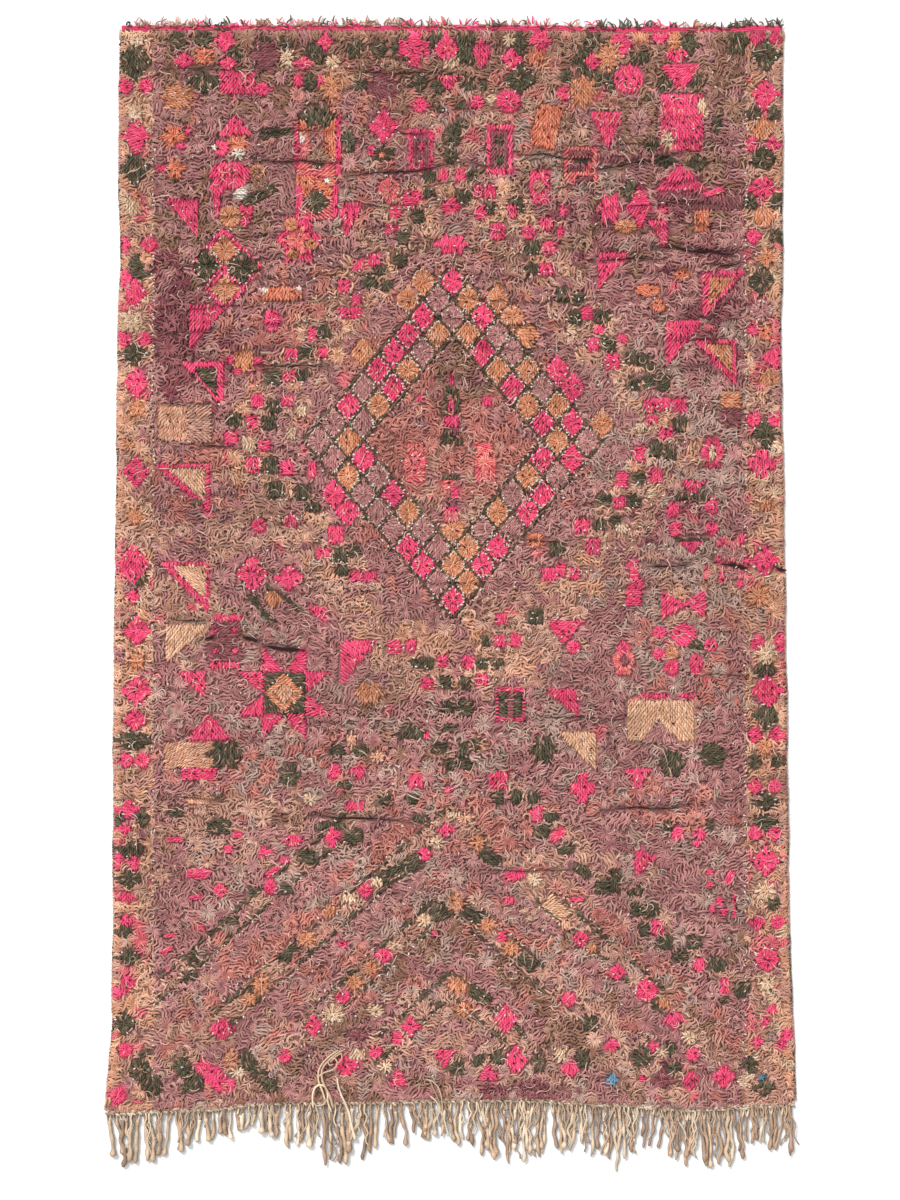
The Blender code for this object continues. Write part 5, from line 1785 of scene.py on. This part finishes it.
# The tops of the warps, between the cords under the plait, are darkened as painted shadow, darkest at the
# top.
ROOT_PAINTED_SHADOW = np.array([0.14, 0.34, 0.78, 1, 1, 1])
ROOT_HEIGHT = 0.0048
roots = np.repeat(np.arange(cords), 2)
spread = np.tile([-1.0, 1.0], cords) * rng.uniform(0.0036, 0.0064, 2 * cords)
share = np.linspace(0, 1, 6)[None, :]
meeting = cord_paths[roots, 1]
top_x = np.clip(cord_x[roots] + spread, fringe_low[0] + 0.004, fringe_high[0] - 0.004)
path_x = top_x[:, None] + (meeting[:, 0] - top_x)[:, None] * share ** 1.6
path_y = start_y[roots] + 0.004 + (meeting[:, 1] - start_y[roots, 0] - 0.004)[:, None] * share
path_z = ROOT_HEIGHT + (meeting[:, 2] - ROOT_HEIGHT)[:, None] * share + 0.001 * np.sin(math.pi * share)
root_thickness = 0.0050 * rng.uniform(0.8, 1.25, (len(roots), 1)) * ROOT_PROFILE[None, :]
root_tone = cotton_tone(len(roots), 0.6 + 0 * root_thickness) * ROOT_PAINTED_SHADOW[None, :, None]
foot_roots = make_yarns("foot_fringe_roots", join_up(path_x, path_y, path_z), root_thickness, root_tone,
                        sides=6, flat=0.9, painted_side_shade=0.60)

# %% Lay thin strands over the cords
STRANDS = 130
STRAND_STATIONS = 12
strand_of = rng.integers(0, cords, STRANDS)
share = np.linspace(0, 1, STRAND_STATIONS)[None, :]
strand_length = cord_length[strand_of] * rng.uniform(0.55, 1.0, STRANDS)
down = strand_length[:, None] * share
turns = 0.040 + 0.050 * rng.random((STRANDS, 1))
path_x = cord_x[strand_of][:, None] + rng.normal(0, 0.14, (STRANDS, 1)) * down
wound = np.sin(2 * math.pi * down / turns + rng.uniform(0, 6, (STRANDS, 1)))
path_x = path_x + 0.0050 * wound * np.clip(down / 0.03, 0, 1)
path_x = np.clip(path_x, fringe_low[0] - FRINGE_ASIDE, fringe_high[0] + FRINGE_ASIDE)
path_y = start_y[strand_of] - down * 0.96
path_z = 0.0105 + rng.uniform(0, 0.003, (STRANDS, 1)) - 0.007 * share ** 2
strand_thickness = 0.0046 * rng.uniform(0.8, 1.25, (STRANDS, 1)) * np.ones((1, STRAND_STATIONS))
strand_tone = cotton_tone(STRANDS, 0.6 + 0 * strand_thickness)
strand_paths = join_up(path_x, path_y, path_z)
foot_strands = make_yarns("foot_fringe_strands", strand_paths, strand_thickness, strand_tone,
                          sides=6, flat=1.0, painted_side_shade=0.60)

# %% [markdown]
# A few warps have come loose. They curl back up over the pile and hang down
# again between the cords, each a smooth line through a handful of places. A row
# of the table is the thickness at both ends in millimetres, and the places
# across and down in counts.

# %% Curl the stray warps
STRAY_WARPS = (
    (8.2, 3.6, ((-118, 1074), (-121, 1062), (-125, 1055), (-129, 1047), (-130, 1037), (-127, 1031),
                (-121, 1025), (-114, 1019), (-106, 1015))),
    (6.0, 3.2, ((-126, 1066), (-129, 1056), (-133, 1047), (-133, 1037), (-129, 1029), (-122, 1022),
                (-113, 1016))),
    (4.6, 3.6, ((-132, 1042), (-127, 1038), (-121, 1037), (-116, 1034), (-113, 1029), (-116, 1024),
                (-121, 1024), (-124, 1028), (-121, 1032), (-118, 1030))),
    (4.0, 3.4, ((-121, 1028), (-115, 1022), (-110, 1019), (-109, 1024), (-113, 1029))),
    (5.6, 5.6, ((-138, 1074), (-139, 1062), (-137, 1054), (-132, 1050), (-126, 1052), (-123, 1059),
                (-124, 1067), (-120, 1078))),
    (4.6, 4.6, ((-139, 1066), (-135, 1072), (-128, 1071), (-123, 1064))),
    (4.0, 9.2, ((-114, 1044), (-113, 1052), (-110, 1061), (-107, 1067), (-102, 1080), (-100, 1092),
                (-96, 1106))),
    (4.0, 4.6, ((-26, 1045), (-21, 1047), (-18, 1055), (-14, 1063), (-11, 1071), (-8, 1085), (-6, 1100))),
    (4.0, 4.6, ((-26, 1045), (-19, 1047), (-13, 1053), (-10, 1062), (-9, 1074), (-9, 1090))),
    (3.6, 4.4, ((-21, 1062), (-15, 1067), (-12, 1075), (-7, 1087), (-3, 1102))),
)
STRAY_STATIONS = 32
STRAY_HEIGHT, STRAY_TOP = 0.0092, 0.0235
OFF_PILE_HEIGHT, OFF_PILE_REACH = 0.012, 0.03
stray_paths, stray_thickness = [], []
for first, last, places in STRAY_WARPS:
    points = np.array(places, float)
    where = np.linspace(0, len(points) - 1, STRAY_STATIONS)
    x = np.interp(where, np.arange(len(points)), points[:, 0]) * COUNT
    y = HEAD_LINE - np.interp(where, np.arange(len(points)), points[:, 1]) * COUNT
    off_pile = np.clip((foot_y(x) - y) / OFF_PILE_REACH, 0, 1)
    z = (slab_top(x, y) + STRAY_HEIGHT) * (1 - off_pile) + OFF_PILE_HEIGHT * off_pile
    stray_paths.append(np.stack((x, y, np.minimum(z, STRAY_TOP)), axis=1))
    stray_thickness.append(np.linspace(first, last, STRAY_STATIONS) / 1000)
stray_paths, stray_thickness = np.array(stray_paths), np.array(stray_thickness)
for _ in range(3):
    stray_paths[:, 1:-1] = (stray_paths[:, :-2] + 2 * stray_paths[:, 1:-1] + stray_paths[:, 2:]) / 4
stray_thickness = stray_thickness * (0.86 + 0.28 * rng.random(stray_thickness.shape))
stray_tone = cotton_tone(len(stray_paths), 0.8 + 0 * stray_thickness)
stray_warps = make_yarns("foot_stray_warps", stray_paths, stray_thickness, stray_tone,
                         sides=8, flat=0.95, painted_side_shade=0.60)

# %% [markdown]
# ## Wool and cotton
# Hand-spun wool scatters light softly: it has no gloss, a little sheen where
# fibre ends catch the light, and fine fuzz that breaks up its colour. The dye of
# each lock comes from the mesh, and a twist of two plies runs along the yarn.

# %% Mix the materials
FUZZ_FINENESS, PLY_FINENESS, WEAVE_FINENESS = 900.0, 900.0, 220.0
FUZZ_SUM = 1.94


def dyed_fibre(name, fineness, detail, darkest, palest):
    """A fibre dyed as the mesh says, with fine fuzz that breaks up its colour."""
    material, tree, shader = new_material(name)
    dye = add_node(tree, "ShaderNodeAttribute", {"attribute_name": "dye"})
    place = add_node(tree, "ShaderNodeTexCoord")
    fuzz = add_node(tree, "ShaderNodeTexNoise", inputs={
        "Vector": (place, "Object"), "Scale": fineness, "Detail": detail})
    shade = add_node(tree, "ShaderNodeMapRange", inputs={
        "Value": (fuzz, "Fac"), "From Min": 0.3, "From Max": 0.7, "To Min": darkest, "To Max": palest})
    tinted = add_node(tree, "ShaderNodeVectorMath", {"operation": "SCALE"},
                      {"Vector": (dye, "Color"), "Scale": (shade, "Result")})
    tree.links.new(tinted.outputs["Vector"], shader.inputs["Base Color"])
    return material, tree, shader, fuzz


def yarn_material(name, ply_depth, fuzz_depth, fuzz_shade, roughness):
    """A spun yarn of two plies twisted together."""
    material, tree, shader, fuzz = dyed_fibre(name, FUZZ_FINENESS, 3.0, fuzz_shade, FUZZ_SUM - fuzz_shade)
    yarn = add_node(tree, "ShaderNodeUVMap", {"uv_map": "yarn"})
    parts = add_node(tree, "ShaderNodeSeparateXYZ", inputs={"Vector": (yarn, "UV")})
    around = add_node(tree, "ShaderNodeMath", {"operation": "MULTIPLY"}, {0: (parts, "X"), 1: 4 * math.pi})
    turned = add_node(tree, "ShaderNodeMath", {"operation": "MULTIPLY_ADD"},
                      {0: (parts, "Y"), 1: PLY_FINENESS, 2: (around, "Value")})
    plies = add_node(tree, "ShaderNodeMath", {"operation": "SINE"}, {0: (turned, "Value")})
    twist_bump = add_node(tree, "ShaderNodeBump", inputs={"Height": (plies, "Value"), "Distance": ply_depth})
    fuzz_bump = add_node(tree, "ShaderNodeBump", inputs={
        "Height": (fuzz, "Fac"), "Distance": fuzz_depth, "Normal": (twist_bump, "Normal")})
    tree.links.new(fuzz_bump.outputs["Normal"], shader.inputs["Normal"])
    shader.inputs["Roughness"].default_value = roughness
    shader.inputs["Sheen Weight"].default_value = 0.10
    shader.inputs["Sheen Roughness"].default_value = 0.5
    shader.inputs["Specular IOR Level"].default_value = 0.12
    return material


hand_spun_wool = yarn_material("hand_spun_wool", 0.0002, 0.0004, 0.82, 0.92)
warp_cotton = yarn_material("warp_cotton_and_wool", 0.0003, 0.0002, 0.92, 0.85)

ground_weave, tree, shader, fuzz = dyed_fibre("woven_wool_ground", WEAVE_FINENESS, 4.0, 0.5, 1.3)
relief = add_node(tree, "ShaderNodeBump", inputs={"Height": (fuzz, "Fac"), "Distance": 0.002})
tree.links.new(relief.outputs["Normal"], shader.inputs["Normal"])
shader.inputs["Roughness"].default_value = 0.95

# The weave under the pile is darkened as painted shade, less under the motifs.
MOTIF_BED_PAINTED_SHADE, GROUND_BED_PAINTED_SHADE = 0.75, 0.60
dye = bed.data.color_attributes.new(name="dye", type="FLOAT_COLOR", domain="POINT")
bed_painted_shade = np.where(bed_chart.motif > 0, MOTIF_BED_PAINTED_SHADE, GROUND_BED_PAINTED_SHADE)
bed_tone = np.ones((len(bed.data.vertices), 4))
bed_tone[:len(bed_chart.wool), :3] = TONES[bed_chart.wool, 1] * bed_painted_shade[:, None]
bed_tone[len(bed_chart.wool):, :3] = np.array(linear("#8A7464")) * GROUND_BED_PAINTED_SHADE
dye.data.foreach_set("color", bed_tone.ravel())
bed.data.materials.append(ground_weave)

woollen = [*pile.values(), loose_ends_and_highlights, hollow_shade_dashes, crease_shadow_strips, head_band, head_ends, *side_cords.values()]
for piece in woollen:
    piece.data.materials.append(hand_spun_wool)
for piece in (white_knots, foot_braid, foot_cords, foot_roots, foot_strands, stray_warps):
    piece.data.materials.append(warp_cotton)

# %% [markdown]
# ## What each piece is
# Every piece rides on the rug's one body, and the plain solids that pieces
# stand for are hidden.

pile_pieces = [*pile.values(), loose_ends_and_highlights, white_knots, hollow_shade_dashes, crease_shadow_strips]
foot_pieces = [foot_braid, foot_cords, foot_roots, foot_strands, stray_warps]
everything = [bed, *pile_pieces, head_band, head_ends, *side_cords.values(), *foot_pieces]
for piece in everything:
    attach(piece, "root")
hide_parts("pile_field")
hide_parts("selvedge_left")
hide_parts("selvedge_right")
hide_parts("head_band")
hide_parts("foot_fringe")

# %% [markdown]
# ## The studio
# The rug lies on a pale floor under soft light from above, a little stronger
# from the head's left, and the camera looks straight down from nine metres.

# %% Floor, light and camera
FLOOR_SIZE, FLOOR_LEVEL = 70.0, -0.0005
SKY_STRENGTH, SUN_STRENGTH, SUN_SPREAD = 0.80, 3.3, 0.4
SUN_PLACE, SUN_AIM = (-3.2, 4.6, 5.0), (0, -0.1, 0)
CAMERA_PLACE, CAMERA_LENS = (-0.004, -0.0929, 9.0), 100

deselect()
bpy.ops.mesh.primitive_plane_add(size=FLOOR_SIZE, location=(0, 0, FLOOR_LEVEL))
floor = bpy.context.object
floor.name = "studio_floor"
paint, tree, shader = new_material("white_floor")
shader.inputs["Base Color"].default_value = (0.90, 0.90, 0.90, 1)
shader.inputs["Roughness"].default_value = 0.9
floor.data.materials.append(paint)

world = bpy.data.worlds.new("studio") if not bpy.context.scene.world else bpy.context.scene.world
bpy.context.scene.world = world
world.use_nodes = True
world.node_tree.nodes["Background"].inputs["Color"].default_value = (1, 1, 1, 1)
world.node_tree.nodes["Background"].inputs["Strength"].default_value = SKY_STRENGTH

deselect()
bpy.ops.object.light_add(type="SUN", location=SUN_PLACE)
lamp = bpy.context.object
lamp.name = "soft_window"
lamp.data.energy = SUN_STRENGTH
lamp.data.angle = SUN_SPREAD
lamp.rotation_euler = (Vector(SUN_AIM) - lamp.location).to_track_quat("-Z", "Y").to_euler()

bpy.context.scene.view_settings.view_transform = "Standard"
deselect()
bpy.ops.object.camera_add(location=CAMERA_PLACE, rotation=(0, 0, 0))
camera = bpy.context.object
camera.data.lens = CAMERA_LENS
camera.data.sensor_width = 36
camera.data.clip_end = 60
bpy.context.scene.camera = camera
